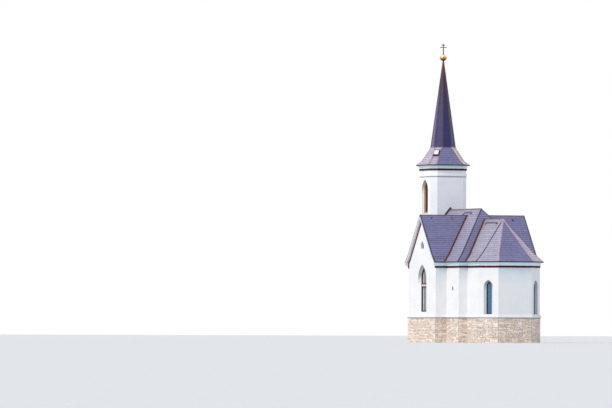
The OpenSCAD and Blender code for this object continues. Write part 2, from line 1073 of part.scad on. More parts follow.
module spire() {
  half = spire_half_at(cap_z);
  inner = 90;
  closed_h = 1500;
  color("slategray") placed() translate([tower_x, 0, 0]) difference() {
    rings([
      [spire_half, eight(spire_half), spire_z],
      [half, eight(half), cap_z]
    ]);
    rings([
      [spire_half - inner, eight(spire_half - inner), spire_z - over],
      [spire_half - inner, eight(spire_half - inner), spire_z],
      [half - inner / 2, eight(half - inner / 2), cap_z - closed_h]
    ]);
  }
}

module spire_cap() {
  lip_h = 30;
  lip_out = 12;
  sheet_t = 8;
  foot = spire_half_at(cap_z) + lip_out;
  head = spire_half_at(cap_top_z) + sheet_t;
  color("maroon") placed() translate([tower_x, 0, 0])
    rings([
      [foot, eight(foot), cap_z],
      [foot, eight(foot), cap_z + lip_h],
      [head, eight(head), cap_top_z]
    ]);
}

ball_drop = 65;
ball_z = spire_tip_h - ball_drop;

module ball() {
  color("gold") placed() translate([tower_x, 0, 0]) difference() {
    translate([0, 0, ball_z]) sphere(ball_d / 2, $fn = 64);
    upright(0, cap_top_z) square(far, center = true);
  }
}

module cross() {
  bar = 50;
  knob_r = 50;
  sink = 12;
  collar_h = 120;
  collar_r = 60;
  collar_top_r = 25;
  long_w = 480;
  short_w = 280;
  long_drop = 252;
  short_drop = 86;
  knob_drop = 465;
  foot_z = ball_z + ball_d / 2 - sink;
  top_z = ball_z + ball_d / 2 + cross_h;
  color("midnightblue") placed() translate([tower_x, 0, 0]) difference() {
    union() {
      translate([-bar / 2, -bar / 2, foot_z]) cube([bar, bar, top_z - foot_z]);
      for (arm = [[long_w, long_drop], [short_w, short_drop]])
        translate([-bar / 2, -arm[0] / 2, top_z - arm[1] - bar / 2]) cube([bar, arm[0], bar]);
      translate([0, 0, top_z - knob_drop]) sphere(knob_r, $fn = 32);
      translate([0, 0, foot_z]) cylinder(collar_h, collar_r, collar_top_r, $fn = 32);
    }
    translate([0, 0, ball_z]) sphere(ball_d / 2, $fn = 64);
  }
}

// A small hatch on the skirt's corner face: a curb and a lid that stands out over it
module roof_hatch() {
  hatch_l = 460;
  hatch_w = 400;
  curb_h = 100;
  lid_t = 30;
  lid_out = 20;
  below_top = 110;
  head = spire_half + corner_step;
  foot = (2 * skirt_mid_half - skirt_mid_cut) / sqrt(2);
  pitch = atan2(skirt_top_z - skirt_mid_z, foot - head);
  color("white") placed() translate([tower_x, 0, 0]) rotate([0, 0, -45])
    translate([head, 0, skirt_top_z]) rotate([0, pitch, 0]) translate([below_top, 0, 0]) {
      translate([0, -hatch_w / 2, 0]) cube([hatch_l, hatch_w, curb_h]);
      translate([-lid_out, -hatch_w / 2 - lid_out, curb_h])
        cube([hatch_l + 2 * lid_out, hatch_w + 2 * lid_out, lid_t]);
    }
}

// Windows and doors

frame_d = 100;
glass_d = 10;
// The glass lies near the back of its frame, behind this depth
glass_back = 80;

// The opening inside a frame: the bar is wider where its arcs meet
module opening(w, h, bar) {
  translate([0, bar]) lancet(w - 2 * bar, h - 2.4 * bar);
}

module frame_of(w, sill, top, bar) {
  translate([-reveal_d, 0, sill]) difference() {
    in_wall(frame_d, 0) lancet(w, top - sill);
    in_wall(frame_d + over) opening(w, top - sill, bar);
  }
}

module glass_of(w, sill, top, bar) {
  translate([-reveal_d - glass_back, 0, sill])
    in_wall(glass_d, 0) opening(w, top - sill, bar);
}

transept_frame_sill = moulding_top + transept_frame_rise;
transept_frame_top = inner_top(transept_window_w, transept_frame_w, transept_window_top);
apse_frame_sill = moulding_top + apse_frame_rise;
apse_frame_top = inner_top(apse_window_w, apse_frame_w, apse_window_top);
frame_bar = 60;
apse_bar = 42;

mullion_w = 50;

module transept_bars() {
  intersection() {
    translate([-reveal_d, 0, transept_frame_sill]) in_wall(frame_d, 0)
      lancet(transept_frame_w, transept_frame_top - transept_frame_sill);
    union() {
      translate([-wall_t, -mullion_w / 2, 0]) cube([wall_t, mullion_w, far]);
      for (z = [transom_z, transom_z + transom_gap])
        translate([-wall_t, -far / 2, z]) cube([wall_t, far, frame_bar]);
    }
  }
}

module transept_frames() {
  color("maroon") placed() both_sides() on_left_gable() {
    frame_of(transept_frame_w, transept_frame_sill, transept_frame_top, frame_bar);
    transept_bars();
  }
}

module transept_glass() {
  color("lightblue") placed() both_sides() on_left_gable() difference() {
    glass_of(transept_frame_w, transept_frame_sill, transept_frame_top, frame_bar);
    transept_bars();
  }
}

module apse_frames() {
  color("maroon") placed() both_sides() on_apse_cut()
    frame_of(apse_frame_w, apse_frame_sill, apse_frame_top, apse_bar);
}

module apse_glass() {
  color("lightblue") placed() both_sides() on_apse_cut()
    glass_of(apse_frame_w, apse_frame_sill, apse_frame_top, apse_bar);
}

// Louvres: a frame with sloping blades let into it, which shed the rain
louvre_d = 80;
louvre_bar = 45;
blade_t = 20;
blade_pitch = 50;
blade_l = louvre_d / cos(blade_pitch);

module louvres(w, h) {
  difference() {
    in_wall(louvre_d, 0) lancet(w, h);
    in_wall(louvre_d + over) opening(w, h, louvre_bar);
  }
  intersection() {
    in_wall(louvre_d, 0) lancet(w, h);
    for (z = [louvre_step : louvre_step : h - louvre_step]) translate([-louvre_d / 2, 0, z])
      rotate([0, blade_pitch, 0]) cube([blade_l, w, blade_t], center = true);
  }
}

module belfry_louvres() {
  sill = belfry_sill + belfry_rise;
  color("saddlebrown") placed() for (angle = belfry_angles)
    on_tower(angle) translate([-louvre_back, 0, sill])
      louvres(louvre_w, inner_top(belfry_w, louvre_w, belfry_point) - sill);
}

door_d = 60;
door_back = 200;

module door() {
  color("saddlebrown") placed() on_tower(180) translate([-door_back, 0, floor_h])
    in_wall(door_d, 0) lancet(door_w, door_top);
}

floor();
doorstep();
tower_plinth();
nave_plinth();
transept_plinths();
apse_plinth();
plinth_moulding();
apse_end_wall();
apse_left_window_wall();
apse_right_window_wall();
apse_side_walls();
nave_shoulders();
nave_side_walls();
nave_back_gable();
left_transept_gable();
right_transept_gable();
transept_cheeks();
tower_front_wall();
tower_side_walls();
tower_back_wall();
string_course();
painted_bands();
cornices();
gutters();
raking_bands();
verge_soffits();
nave_roof();
left_transept_roof();
right_transept_roof();
apse_roof();
ridge_caps();
hip_flashings();
valley_gutters();
skirt_roof();
spire();
roof_hatch();
spire_cap();
ball();
cross();
transept_frames();
transept_glass();
apse_frames();
apse_glass();
belfry_louvres();
door();
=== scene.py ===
# %% [markdown]
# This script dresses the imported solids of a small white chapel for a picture. The solids come in
# as a fixed frame in metres, and every piece made here is drawn in that same frame.

# %% Load the frame
import json
import math
import random

import bpy
from mathutils import Matrix, Vector


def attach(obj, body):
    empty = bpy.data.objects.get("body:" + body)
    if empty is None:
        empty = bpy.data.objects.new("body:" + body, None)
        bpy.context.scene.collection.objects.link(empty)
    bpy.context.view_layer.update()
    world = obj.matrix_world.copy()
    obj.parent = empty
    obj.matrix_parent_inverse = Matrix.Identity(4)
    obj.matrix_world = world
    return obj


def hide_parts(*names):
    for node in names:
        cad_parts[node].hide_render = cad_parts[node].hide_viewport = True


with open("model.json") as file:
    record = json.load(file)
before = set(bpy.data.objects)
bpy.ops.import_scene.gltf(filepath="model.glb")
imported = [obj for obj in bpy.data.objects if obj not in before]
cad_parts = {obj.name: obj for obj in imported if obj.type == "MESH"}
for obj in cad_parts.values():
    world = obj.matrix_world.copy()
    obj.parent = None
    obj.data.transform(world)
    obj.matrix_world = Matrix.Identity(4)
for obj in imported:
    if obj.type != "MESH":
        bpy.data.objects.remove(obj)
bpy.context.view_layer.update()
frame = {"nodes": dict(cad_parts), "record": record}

nodes = frame["nodes"]

# %% [markdown]
# The pieces follow the same named sizes as the solids. All x values of the plan are measured
# from the shoulders, the nave's end towards the apse, and one shift brings them to the middle of
# the plan, where the frame has its origin.

# %% Sizes of the building, in metres
NAVE_HALF, NAVE_HIP, NAVE_RIDGE = 3.0, 3.19, 9.53
TRANSEPT_X0, TRANSEPT_X1, TRANSEPT_HALF, TRANSEPT_RIDGE = -7.48, -2.30, 3.83, 9.07
APSE_HALF, APSE_END_HALF, APSE_L, APSE_PEAK, APSE_RIDGE = 2.35, 1.26, 3.07, 0.84, 8.74
APSE_CUT_X = APSE_L - (APSE_HALF - APSE_END_HALF)
BACK_X = -9.51
EAVE_OUT, EAVE_H, FLARE_RUN, FLARE_RISE = 0.20, 5.73, 0.56, 0.54
BREAK_H = EAVE_H + FLARE_RISE
FLARE_OUT = EAVE_OUT - FLARE_RUN
TOWER_X, TOWER_HALF, TOWER_CUT, TOWER_EAVE_H = -10.46, 1.40, 0.40, 12.78
PLINTH_OUT, PLINTH_H = 0.03, 1.78
TRANSEPT_X = (TRANSEPT_X0 + TRANSEPT_X1) / 2
CORNER = math.tan(math.radians(22.5))
SHIFT = 4.46


def at(x, y, z):
    """A point of the plan, in the frame."""
    return Vector((x + SHIFT, y, z))


print("shoulders at x =", SHIFT, "m in the frame")

# %% [markdown]
# The photograph was taken from far away with a long lens, so upright lines stay upright and the
# receding walls hardly shrink. The camera stands half a kilometre off, a little over the floor,
# and is turned up so far that the cross comes into the picture.

# %% Camera
IMAGE_W, FOCAL_PX, SENSOR = 612, 7140, 36.0
YAW, PITCH, ROLL = math.radians(20.95), math.radians(1.018), math.radians(0.185)
DISTANCE, SIDEWAYS, HEIGHT = 504.45, -13.602, 0.8

towards = Vector((math.cos(YAW), -math.sin(YAW), 0))
right = Vector((math.sin(YAW), math.cos(YAW), 0))
up = Vector((0, 0, 1))
ahead = -towards * math.cos(PITCH) + up * math.sin(PITCH)
over = towards * math.sin(PITCH) + up * math.cos(PITCH)
right_rolled = right * math.cos(ROLL) + over * math.sin(ROLL)
over_rolled = over * math.cos(ROLL) - right * math.sin(ROLL)

camera_data = bpy.data.cameras.new("camera")
camera_data.sensor_width = SENSOR
camera_data.lens = FOCAL_PX / IMAGE_W * SENSOR
camera_data.clip_start, camera_data.clip_end = 1.0, 5000.0
camera = bpy.data.objects.new("camera", camera_data)
bpy.context.scene.collection.objects.link(camera)
place = at(0, 0, 0) + towards * DISTANCE + right * SIDEWAYS + up * HEIGHT
turn = Matrix((right_rolled, over_rolled, -ahead)).transposed().to_4x4()
camera.matrix_world = Matrix.Translation(place) @ turn
bpy.context.scene.camera = camera
bpy.context.scene.view_settings.view_transform = "Standard"
print("camera: lens %.0f mm at %s" % (camera_data.lens, [round(v, 1) for v in place]))

# %% [markdown]
# Colours are written as the hex values that a paint program shows. Shaders need linear light, so
# one function turns them. One more function adds a node with its settings and its links. The
# materials could be drawn by hand in the shader editor, but in code a finish that comes again in
# another colour is one more call, and every pattern keeps its size in millimetres.

# %% Colours and nodes
def colour(text):
    """Linear colour of an sRGB hex value."""
    parts = [int(text[i:i + 2], 16) / 255 for i in (1, 3, 5)]
    return [p / 12.92 if p <= 0.04045 else ((p + 0.055) / 1.055) ** 2.4 for p in parts] + [1.0]


def add(tree, kind, values=(), links=(), stops=(), **settings):
    """A node with its settings, socket values and links, and the stops of a colour ramp."""
    made = tree.nodes.new("ShaderNode" + kind)
    for key, value in settings.items():
        setattr(made, key, value)
    for key, value in dict(values).items():
        made.inputs[key].default_value = value
    for key, value in dict(links).items():
        tree.links.new(value, made.inputs[key])
    for number, (position, shade) in enumerate(stops):
        ramp = made.color_ramp.elements
        stop = ramp[number] if number < 2 else ramp.new(position)
        stop.position, stop.color = position, colour(shade)
    return made


def new_material(name, **values):
    """A material with one shader, and the coordinates of the frame in metres."""
    made = bpy.data.materials.new(name)
    made.use_nodes = True
    tree = made.node_tree
    tree.nodes.clear()
    shader = add(tree, "BsdfPrincipled", {k.replace("_", " "): v for k, v in values.items()})
    add(tree, "OutputMaterial", links={"Surface": shader.outputs["BSDF"]})
    where = add(tree, "TexCoord").outputs["Object"]
    return made, tree, shader, where


def dress(tree, shader, tone, height=None, strength=0.6, depth_mm=0.0):
    """Give a shader its colour, and its relief where a height is given."""
    tree.links.new(tone, shader.inputs["Base Color"])
    if height is not None:
        bump = add(tree, "Bump", {"Strength": strength, "Distance": depth_mm / 1000},
                   {"Height": height})
        tree.links.new(bump.outputs["Normal"], shader.inputs["Normal"])


def per_mm(size):
    """Scale of a noise whose grains are size millimetres wide."""
    return 1000 / size


print("white is", colour("#ffffff"))

# %% [markdown]
# The stage is a plain pale floor, an even pale sky that lights from all sides and one soft lamp
# from the left, where the sun stands in the photograph. A backdrop with area lamps could do the
# same, but a sky and a sun lamp light a tall building evenly from its foot to its cross. Camera
# and gloss rays see a white background, so the light on the object doesn't depend on it.

# %% Floor and light
SKY_LIGHT, LAMP_LIGHT, LAMP_SOFT = 0.74, 1.52, math.radians(8)
LAMP_FROM = Vector((0.22, -0.80, 0.62))

world = bpy.data.worlds.new("studio")
bpy.context.scene.world = world
world.use_nodes = True
tree = world.node_tree
tree.nodes.clear()
path = add(tree, "LightPath").outputs
seen = add(tree, "Math", links={0: path["Is Camera Ray"], 1: path["Is Glossy Ray"]},
           operation="MAXIMUM")
seen = add(tree, "Math", links={0: seen.outputs[0], 1: path["Is Transmission Ray"]},
           operation="MAXIMUM")
light = add(tree, "Background", {"Color": colour("#eaf1ff"), "Strength": SKY_LIGHT})
white = add(tree, "Background", {"Color": colour("#ffffff"), "Strength": 1.0})
mix = add(tree, "MixShader", links={0: seen.outputs[0], 1: light.outputs[0],
                                    2: white.outputs[0]})
add(tree, "OutputWorld", links={"Surface": mix.outputs[0]})

lamp_data = bpy.data.lights.new("lamp", "SUN")
lamp_data.energy, lamp_data.angle = LAMP_LIGHT, LAMP_SOFT
lamp_data.color = colour("#fffaf2")[:3]
lamp = bpy.data.objects.new("lamp", lamp_data)
lamp.rotation_mode = "QUATERNION"
lamp.rotation_quaternion = LAMP_FROM.to_track_quat("Z", "Y")
bpy.context.scene.collection.objects.link(lamp)

FLOOR_HALF = 700
floor_mesh = bpy.data.meshes.new("studio_floor")
floor_mesh.from_pydata([(x * FLOOR_HALF, y * FLOOR_HALF, 0) for x, y in
                        ((-1, -1), (1, -1), (1, 1), (-1, 1))], [], [(0, 1, 2, 3)])
studio_floor = bpy.data.objects.new("studio_floor", floor_mesh)
bpy.context.scene.collection.objects.link(studio_floor)
floor_finish = new_material("pale_studio_floor", Roughness=0.9, Base_Color=colour("#e8e8e6"))[0]
floor_mesh.materials.append(floor_finish)
print("floor", 2 * FLOOR_HALF, "m wide, lamp from", LAMP_FROM)

# %% [markdown]
# The walls are lime plaster under many coats of limewash: chalky, quite matt, a little uneven
# from the trowel and faintly stained by rain. One flat white would look like paper, so two noises
# vary the tone and the relief. Painted shade greys the top of the nave's walls that look towards
# the apse's end, and the high walls are painted paler as painted light. Both could be painted on
# the mesh, but they depend only on height and on the way a wall faces, and both can be read from
# the solid itself.

# %% Limewash
# The high walls are painted paler than the low ones, as painted light, between two heights
LOW_WALLS, HIGH_WALLS = ("#edeeef", "#f4f4f4"), ("#f4f5f7", "#fdfdfe")
PALER_FROM, PALER_TO = 6.0, 8.0
# Painted shade under the eaves: its colour factor, and the heights at which it starts and is full
EAVES_SHADE, EAVES_SHADE_FROM, EAVES_SHADE_TO = (0.84, 0.91, 0.96, 1.0), 4.1, 5.2


def limewashed_plaster():
    made, tree, shader, where = new_material("limewashed_plaster", Roughness=0.88)
    # Broad faint stains a metre wide. The tower's walls, high up, are painted paler than the
    # nave's, as painted light
    stain = add(tree, "TexNoise", {"Scale": per_mm(900), "Detail": 4.0}, {"Vector": where})
    height = add(tree, "SeparateXYZ", links={"Vector": where}).outputs["Z"]
    up_there = add(tree, "MapRange", {"From Min": PALER_FROM, "From Max": PALER_TO},
                   {"Value": height})
    low_tone, high_tone = [
        add(tree, "ValToRGB", links={"Fac": stain.outputs["Fac"]},
            stops=((0.35, dark), (0.65, light))).outputs["Color"]
        for dark, light in (LOW_WALLS, HIGH_WALLS)]
    clean = add(tree, "MixRGB", links={0: up_there.outputs[0], 1: low_tone, 2: high_tone})
    # Painted shade under the eaves greys the top metre of the nave's walls that look towards the
    # apse's end
    facing = add(tree, "SeparateXYZ", links={"Vector": add(tree, "TexCoord").outputs["Normal"]})
    share = add(tree, "MapRange", {"From Min": 0.8, "From Max": 0.9},
                {"Value": facing.outputs["X"]})
    top = add(tree, "MapRange", {"From Min": EAVES_SHADE_FROM, "From Max": EAVES_SHADE_TO}, {"Value": height})
    nave_only = add(tree, "Math", {1: PALER_FROM}, {0: height}, operation="LESS_THAN")
    for limit in (top, nave_only):
        share = add(tree, "Math", links={0: share.outputs[0], 1: limit.outputs[0]},
                    operation="MULTIPLY")
    eaves_shade = add(tree, "MixRGB", {2: EAVES_SHADE}, {0: share.outputs[0], 1: clean.outputs[0]},
               blend_type="MULTIPLY")
    # The waves of the trowel are 60 mm wide
    trowel = add(tree, "TexNoise", {"Scale": per_mm(60), "Detail": 3.0}, {"Vector": where})
    dress(tree, shader, eaves_shade.outputs[0], trowel.outputs["Fac"], 0.25, 4)
    return made


plaster = limewashed_plaster()
print("walls:", plaster.name)

# %% [markdown]
# The stone plinth shows rubble set in lime mortar. The solid of the plinth is the mortar: coarse
# sand in lime, rough and dull, with grains drawn 45 mm wide so that they show at this distance.

# %% Lime mortar
def lime_mortar():
    made, tree, shader, where = new_material("lime_mortar", Roughness=0.95)
    sand = add(tree, "TexNoise", {"Scale": per_mm(45), "Detail": 5.0},
               {"Vector": where}).outputs["Fac"]
    tone = add(tree, "ValToRGB", links={"Fac": sand}, stops=((0.0, "#6f6054"), (1.0, "#a3917f")))
    dress(tree, shader, tone.outputs["Color"], sand, 0.6, 6)
    return made


mortar = lime_mortar()
print("plinth:", mortar.name)

# %% [markdown]
# Stones and slates are split from rock, so no two have the same shade. A material for each stone
# would be endless work. Instead each one carries a tint on the corners of its faces, and one
# finish multiplies its base colour by that tint and by a fine grain. The roofs are natural slate:
# thin grey-blue plates with a purple cast and a dull sheen. The spire's slates are a bluer sort.

# %% Stone and slate
def tinted(name, base, grain_mm, low, high, strength=0.0, depth_mm=0.0, **values):
    """A finish that takes each small part's own tint, with grains of the given size."""
    made, tree, shader, where = new_material(name, **values)
    tint = add(tree, "VertexColor", layer_name="tint")
    grain = add(tree, "TexNoise", {"Scale": per_mm(grain_mm), "Detail": 4.0},
                {"Vector": where}).outputs["Fac"]
    spread = add(tree, "MapRange", {"To Min": low, "To Max": high}, {"Value": grain})
    both = add(tree, "VectorMath", {1: colour(base)[:3]}, {0: tint.outputs["Color"]},
               operation="MULTIPLY")
    whole = add(tree, "VectorMath", links={0: both.outputs[0], "Scale": spread.outputs[0]},
                operation="SCALE")
    dress(tree, shader, whole.outputs[0], grain if depth_mm else None, strength, depth_mm)
    return made


rubble = tinted("split_rubble_stone", "#f6e9de", 60, 0.90, 1.12, 0.7, 8, Roughness=0.85)
# The coats in the reveals carry painted shade in their tints
reveal_painted_shade = tinted("limewash_painted_shade", "#f3f4f4", 60, 0.95, 1.05, Roughness=0.9)
# The slates' tints carry painted shade towards their heads and painted light on planes that face
# sideways
slate = tinted("split_slate", "#8c8abb", 120, 0.9, 1.1, 0.35, 3, Roughness=0.42, IOR=1.58)
spire_slate = tinted("split_blue_slate", "#31377c", 120, 0.9, 1.1, 0.35, 3, Roughness=0.42,
                     IOR=1.42)
print("tinted:", rubble.name, reveal_painted_shade.name, slate.name, spire_slate.name)

# %% [markdown]
# Paint, sheet metal, boards and sawn stone have little pattern from a distance: they wander
# between two close shades in patches, and their relief is under a millimetre. One function makes
# such a finish from the two shades and the size of the patches. Boards have it stretched along
# the grain.

# %% Worn finishes
def worn(name, dark, light, grain_mm, bump_mm=0.0, stretch=(1, 1, 1), **values):
    """A finish between two shades, in grains of the given size, stretched along an axis."""
    made, tree, shader, where = new_material(name, **values)
    fit = add(tree, "Mapping", {"Scale": stretch}, {"Vector": where})
    grain = add(tree, "TexNoise", {"Scale": per_mm(grain_mm), "Detail": 4.0},
                {"Vector": fit.outputs["Vector"]}).outputs["Fac"]
    tone = add(tree, "ValToRGB", links={"Fac": grain}, stops=((0.3, dark), (0.7, light)))
    dress(tree, shader, tone.outputs["Color"], grain if bump_mm else None, depth_mm=bump_mm)
    return made


# Sawn stone and felt are matt and a little grainy
under_slate = worn("slating_felt", "#3b3744", "#4a4454", 60, 1.0, Roughness=0.9)
sill_stone = worn("tan_sill_stone", "#b99a72", "#d2b68e", 60, 0.6, Roughness=0.75)
# A dark stone for the lines of painted shadow under the mouldings
shadow_line_stone = worn("painted_shadow_stone", "#6f7b6f", "#87938a", 60, 0.5, Roughness=0.85)
slab = worn("honed_stone_slab", "#8a857e", "#a9a39a", 40, 1.0, Roughness=0.7)

# Linseed oil paint dries silky and goes dull outdoors. The dark coats give back little light
dull = dict(Roughness=0.6, Specular_IOR_Level=0.2)
maroon_paint = worn("linseed_paint_maroon", "#330b11", "#451218", 150, 0.3, **dull)
# The raking bands are the same maroon as the eaves' band, painted lighter red as painted light
# where the sun falls on them
lit_band_paint = worn("raking_band_paint_painted_light", "#74261f", "#8f362c", 150, 0.3, **dull)
bead_paint = worn("linseed_paint_wine", "#5d0c1c", "#761527", 150, 0.3, **dull)
# The mullions are the frames' maroon, painted paler as painted light on their lit sides
lit_mullion_paint = worn("mullion_paint_painted_light", "#7d686e", "#988389", 120, 0.3, Roughness=0.7)
pale_paint = worn("linseed_paint_pale", "#d2e9f1", "#e2f5f9", 200, 0.3, Roughness=0.5)
barge_paint = worn("linseed_paint_white", "#cddae2", "#dae3ea", 200, 0.3, Roughness=0.5)
rose_paint = worn("linseed_paint_rose", "#d3b9c0", "#e2ccd1", 120, 0.3, Roughness=0.5)

# Coated steel sheet, folded by hand: smoother than paint on wood. Where sun comes some sheets are
# painted paler, as painted highlight
gutter_sheet = worn("coated_gutter_sheet", "#1d2426", "#2c3436", 200, Roughness=0.5,
                    Specular_IOR_Level=0.3)
hip_sheet = worn("coated_hip_sheet", "#4a3344", "#63465a", 160, 0.4, Roughness=0.5)
ridge_sheet = worn("coated_ridge_sheet", "#6b4f5c", "#82656f", 160, 0.4, Roughness=0.5)
spire_sheet = worn("painted_spire_sheet", "#35182f", "#482741", 120, 0.4, Roughness=0.5)
cover_highlight_sheet = worn("cover_sheet_painted_highlight", "#ab96a6", "#c4afb9", 120, 0.3, Roughness=0.5)
hip_cover_sheet = worn("slate_grey_hip_sheet", "#3b3549", "#504a60", 160, 0.4, Roughness=0.5)
valley_sheet = worn("coated_valley_sheet", "#33222c", "#473140", 160, 0.4, Roughness=0.5)
ochre_highlight_sheet = worn("ochre_sheet_painted_highlight", "#7d5440", "#976a50", 120, 0.3, Roughness=0.5)
grey_sheet = worn("coated_grey_sheet", "#7d707c", "#948693", 120, 0.3, Roughness=0.5)
# Cream as a painted sheen on the skirt's right hips
cream_sheen_sheet = worn("cream_sheet_painted_sheen", "#dcc0a0", "#eed8bc", 120, 0.3, Roughness=0.5)
cap_sheet = worn("painted_cap_sheet", "#571824", "#702433", 120, 0.4, Roughness=0.45)
white_sheet = worn("white_painted_sheet", "#e2e4e6", "#eff0f1", 80, Roughness=0.4)

# Boards have grain that runs upwards, eight times as long as it is wide
UP_GRAIN = (1, 1, 0.12)
stained_board = worn("stained_softwood", "#56301a", "#7a4c2c", 25, 0.8, UP_GRAIN, Roughness=0.65,
                     Specular_IOR_Level=0.3)
light_oak = worn("oiled_oak", "#a3764c", "#c39568", 25, 0.6, UP_GRAIN, Roughness=0.6)

# Blacked iron still glints as a metal does, and the painted cross doesn't
iron = worn("blacked_wrought_iron", "#16181c", "#24272d", 20, 0.4, Roughness=0.5, Metallic=0.6)
cross_iron = worn("painted_wrought_iron", "#0c1124", "#181f38", 30, 0.3, Roughness=0.4)
print("finishes so far:", len(bpy.data.materials))

# %% [markdown]
# The ball is gilded with leaf on copper. Gold is a metal, so its colour is the colour of what it
# mirrors. A pale floor below would make it as bright underneath as above, so its tone follows the
# height: painted shade below and a painted highlight on top, in blotches as large as the leaves.

# %% Gilding
def leaf_gilding(low, high):
    """Gilding with a painted highlight on top of the ball and painted shade below, between two
    heights.
    """
    made, tree, shader, where = new_material("leaf_gilding", Roughness=0.3, Metallic=1.0)
    leaves = add(tree, "TexNoise", {"Scale": per_mm(70), "Detail": 4.0}, {"Vector": where})
    height = add(tree, "SeparateXYZ", links={"Vector": where}).outputs["Z"]
    share = add(tree, "MapRange", {"From Min": low, "From Max": high}, {"Value": height})
    mottled = add(tree, "Math", {1: 0.25}, {0: leaves.outputs["Fac"], 2: share.outputs[0]},
                  operation="MULTIPLY_ADD")
    tone = add(tree, "ValToRGB", links={"Fac": mottled.outputs[0]},
               stops=((0.22, "#4a2a0e"), (1.0, "#ffe6c8"), (0.55, "#d08a3c")))
    dress(tree, shader, tone.outputs["Color"])
    return made


BALL_Z, BALL_R = 20.515, 0.245
gilding = leaf_gilding(BALL_Z - BALL_R, BALL_Z + BALL_R)
print("ball:", gilding.name)

# %% [markdown]
# The window glass is old crown glass in front of a dark room. A clear sheet would show the floor
# behind it. From outside the real one hardly shows the room and mostly gives back the sky, so its
# colour is a painted reflection of the sky: a blue body under a smooth clear surface. The large
# windows have a paler, greyer painted reflection.

# %% Window glass
def crown_glass(name, dark, light):
    made, tree, shader, where = new_material(name, Roughness=0.06, IOR=1.52)
    waves = add(tree, "TexNoise", {"Scale": per_mm(180), "Detail": 1.0},
                {"Vector": where}).outputs["Fac"]
    tone = add(tree, "ValToRGB", links={"Fac": waves}, stops=((0.0, dark), (1.0, light)))
    dress(tree, shader, tone.outputs["Color"], waves, 0.1, 2)
    return made


glass = crown_glass("crown_glass", "#1f5f8c", "#3f7fae")
pale_reflection_glass = crown_glass("crown_glass_pale_reflection", "#9daaab", "#c2cccb")
print("glass:", glass.name, pale_reflection_glass.name)

# %% [markdown]
# The solids keep their shape and only take a finish: most of them by the slot that their record
# names, and a few by their own name, where the photograph shows another shade.

# %% Finishes of the solids
finish_of_slot = {
    "plaster": plaster, "rubble_stone": mortar, "floor_stone": slab, "band_paint": maroon_paint,
    "cornice_paint": pale_paint, "gutter_metal": gutter_sheet, "flashing_metal": hip_sheet,
    "roof_slate": under_slate, "hatch_metal": white_sheet, "cap_metal": cap_sheet,
    "gilt_metal": gilding, "cross_iron": cross_iron, "frame_wood": maroon_paint,
    "window_glass": glass, "brown_wood": stained_board,
}
finish_of_node = {"transept_glass": pale_reflection_glass, "verge_soffits": barge_paint,
                  "ridge_caps": ridge_sheet, "raking_bands": lit_band_paint,
                  "valley_gutters": valley_sheet, "hip_flashings": hip_cover_sheet,
                  "apse_frames": bead_paint}
slot_of_node = {part["node"]: part["material_slot"] for part in frame["record"]["subparts"]}
for name, solid in nodes.items():
    solid.data.materials.clear()
    solid.data.materials.append(finish_of_node.get(name, finish_of_slot[slot_of_node[name]]))
print("finishes given to", len(nodes), "solids")

# %% [markdown]
# Most pieces are built from lists of points and faces. Modifiers could bend and cut them too, but
# a roof of a few thousand slates is quicker and exact as one list. One function turns such lists
# into a piece that rides with the building, and a small class gathers them.

# %% Make a piece from points and faces
def piece(name, points, faces, finish, slot, tints=None, smooth=False):
    """A piece of the building. tints holds one colour factor for each corner of each face."""
    mesh = bpy.data.meshes.new(name)
    mesh.from_pydata([tuple(p) for p in points], [], faces)
    if tints is not None:
        layer = mesh.color_attributes.new("tint", "FLOAT_COLOR", "CORNER")
        flat = [c for corner in tints for c in (*corner, 1.0)]
        layer.data.foreach_set("color", flat)
    if smooth:
        mesh.shade_smooth()
    mesh.materials.append(finish)
    made = bpy.data.objects.new(name, mesh)
    bpy.context.scene.collection.objects.link(made)
    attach(made, "root")
    print("%s: %d faces" % (name, len(faces)))
    return made


def bands(count, rings):
    """Faces between rings of count points each, whose points are listed ring by ring."""
    return [(count * k + i, count * k + (i + 1) % count, count * (k + 1) + (i + 1) % count,
             count * (k + 1) + i) for k in range(rings - 1) for i in range(count)]


BOX_FACES = [(3, 2, 1, 0), (4, 5, 6, 7)] + bands(4, 2)


class Parts:
    """Points, faces and tints of a piece that is put together from many small forms."""

    def __init__(self):
        self.points, self.faces, self.tints = [], [], []

    def form(self, points, faces, tint=(1, 1, 1)):
        first = len(self.points)
        self.points.extend(points)
        for face in faces:
            self.faces.append([first + i for i in face])
            self.tints.extend([tint] * len(face))

    def block(self, corner, along, across, out, tint=(1, 1, 1)):
        """A box from a corner and three edges."""
        low = [corner, corner + along, corner + along + across, corner + across]
        self.form(low + [p + out for p in low], BOX_FACES, tint)

    def make(self, name, finish, slot, **more):
        return piece(name, self.points, self.faces, finish, slot, self.tints, **more)


print("faces of a box:", BOX_FACES)

# %% [markdown]
# Stones, gutters and drips all follow the same walls, so the outline of the plan is written once,
# as corners at any distance from the walls. It could be read from the solids, but as a function
# each piece asks for the line it needs, with every corner mitred at that distance.

# %% Outline of the walls
DOORWAY_HALF = 0.62


def outline_half(out):
    """The plan's outline on the right side, from the apse to the middle of the tower's front."""
    c = out * CORNER
    flat = TOWER_HALF - TOWER_CUT + c
    return [
        (APSE_L + out, APSE_END_HALF + c), (APSE_CUT_X + c, APSE_HALF + out),
        (out, APSE_HALF + out), (out, NAVE_HALF + out), (TRANSEPT_X1 + out, NAVE_HALF + out),
        (TRANSEPT_X1 + out, TRANSEPT_HALF + out), (TRANSEPT_X0 - out, TRANSEPT_HALF + out),
        (TRANSEPT_X0 - out, NAVE_HALF + out), (BACK_X - out, NAVE_HALF + out),
        (BACK_X - out, TOWER_HALF + out), (TOWER_X - flat, TOWER_HALF + out),
        (TOWER_X - TOWER_HALF - out, flat), (TOWER_X - TOWER_HALF - out, DOORWAY_HALF),
    ]


print("corners of the outline on one side:", len(outline_half(0)))

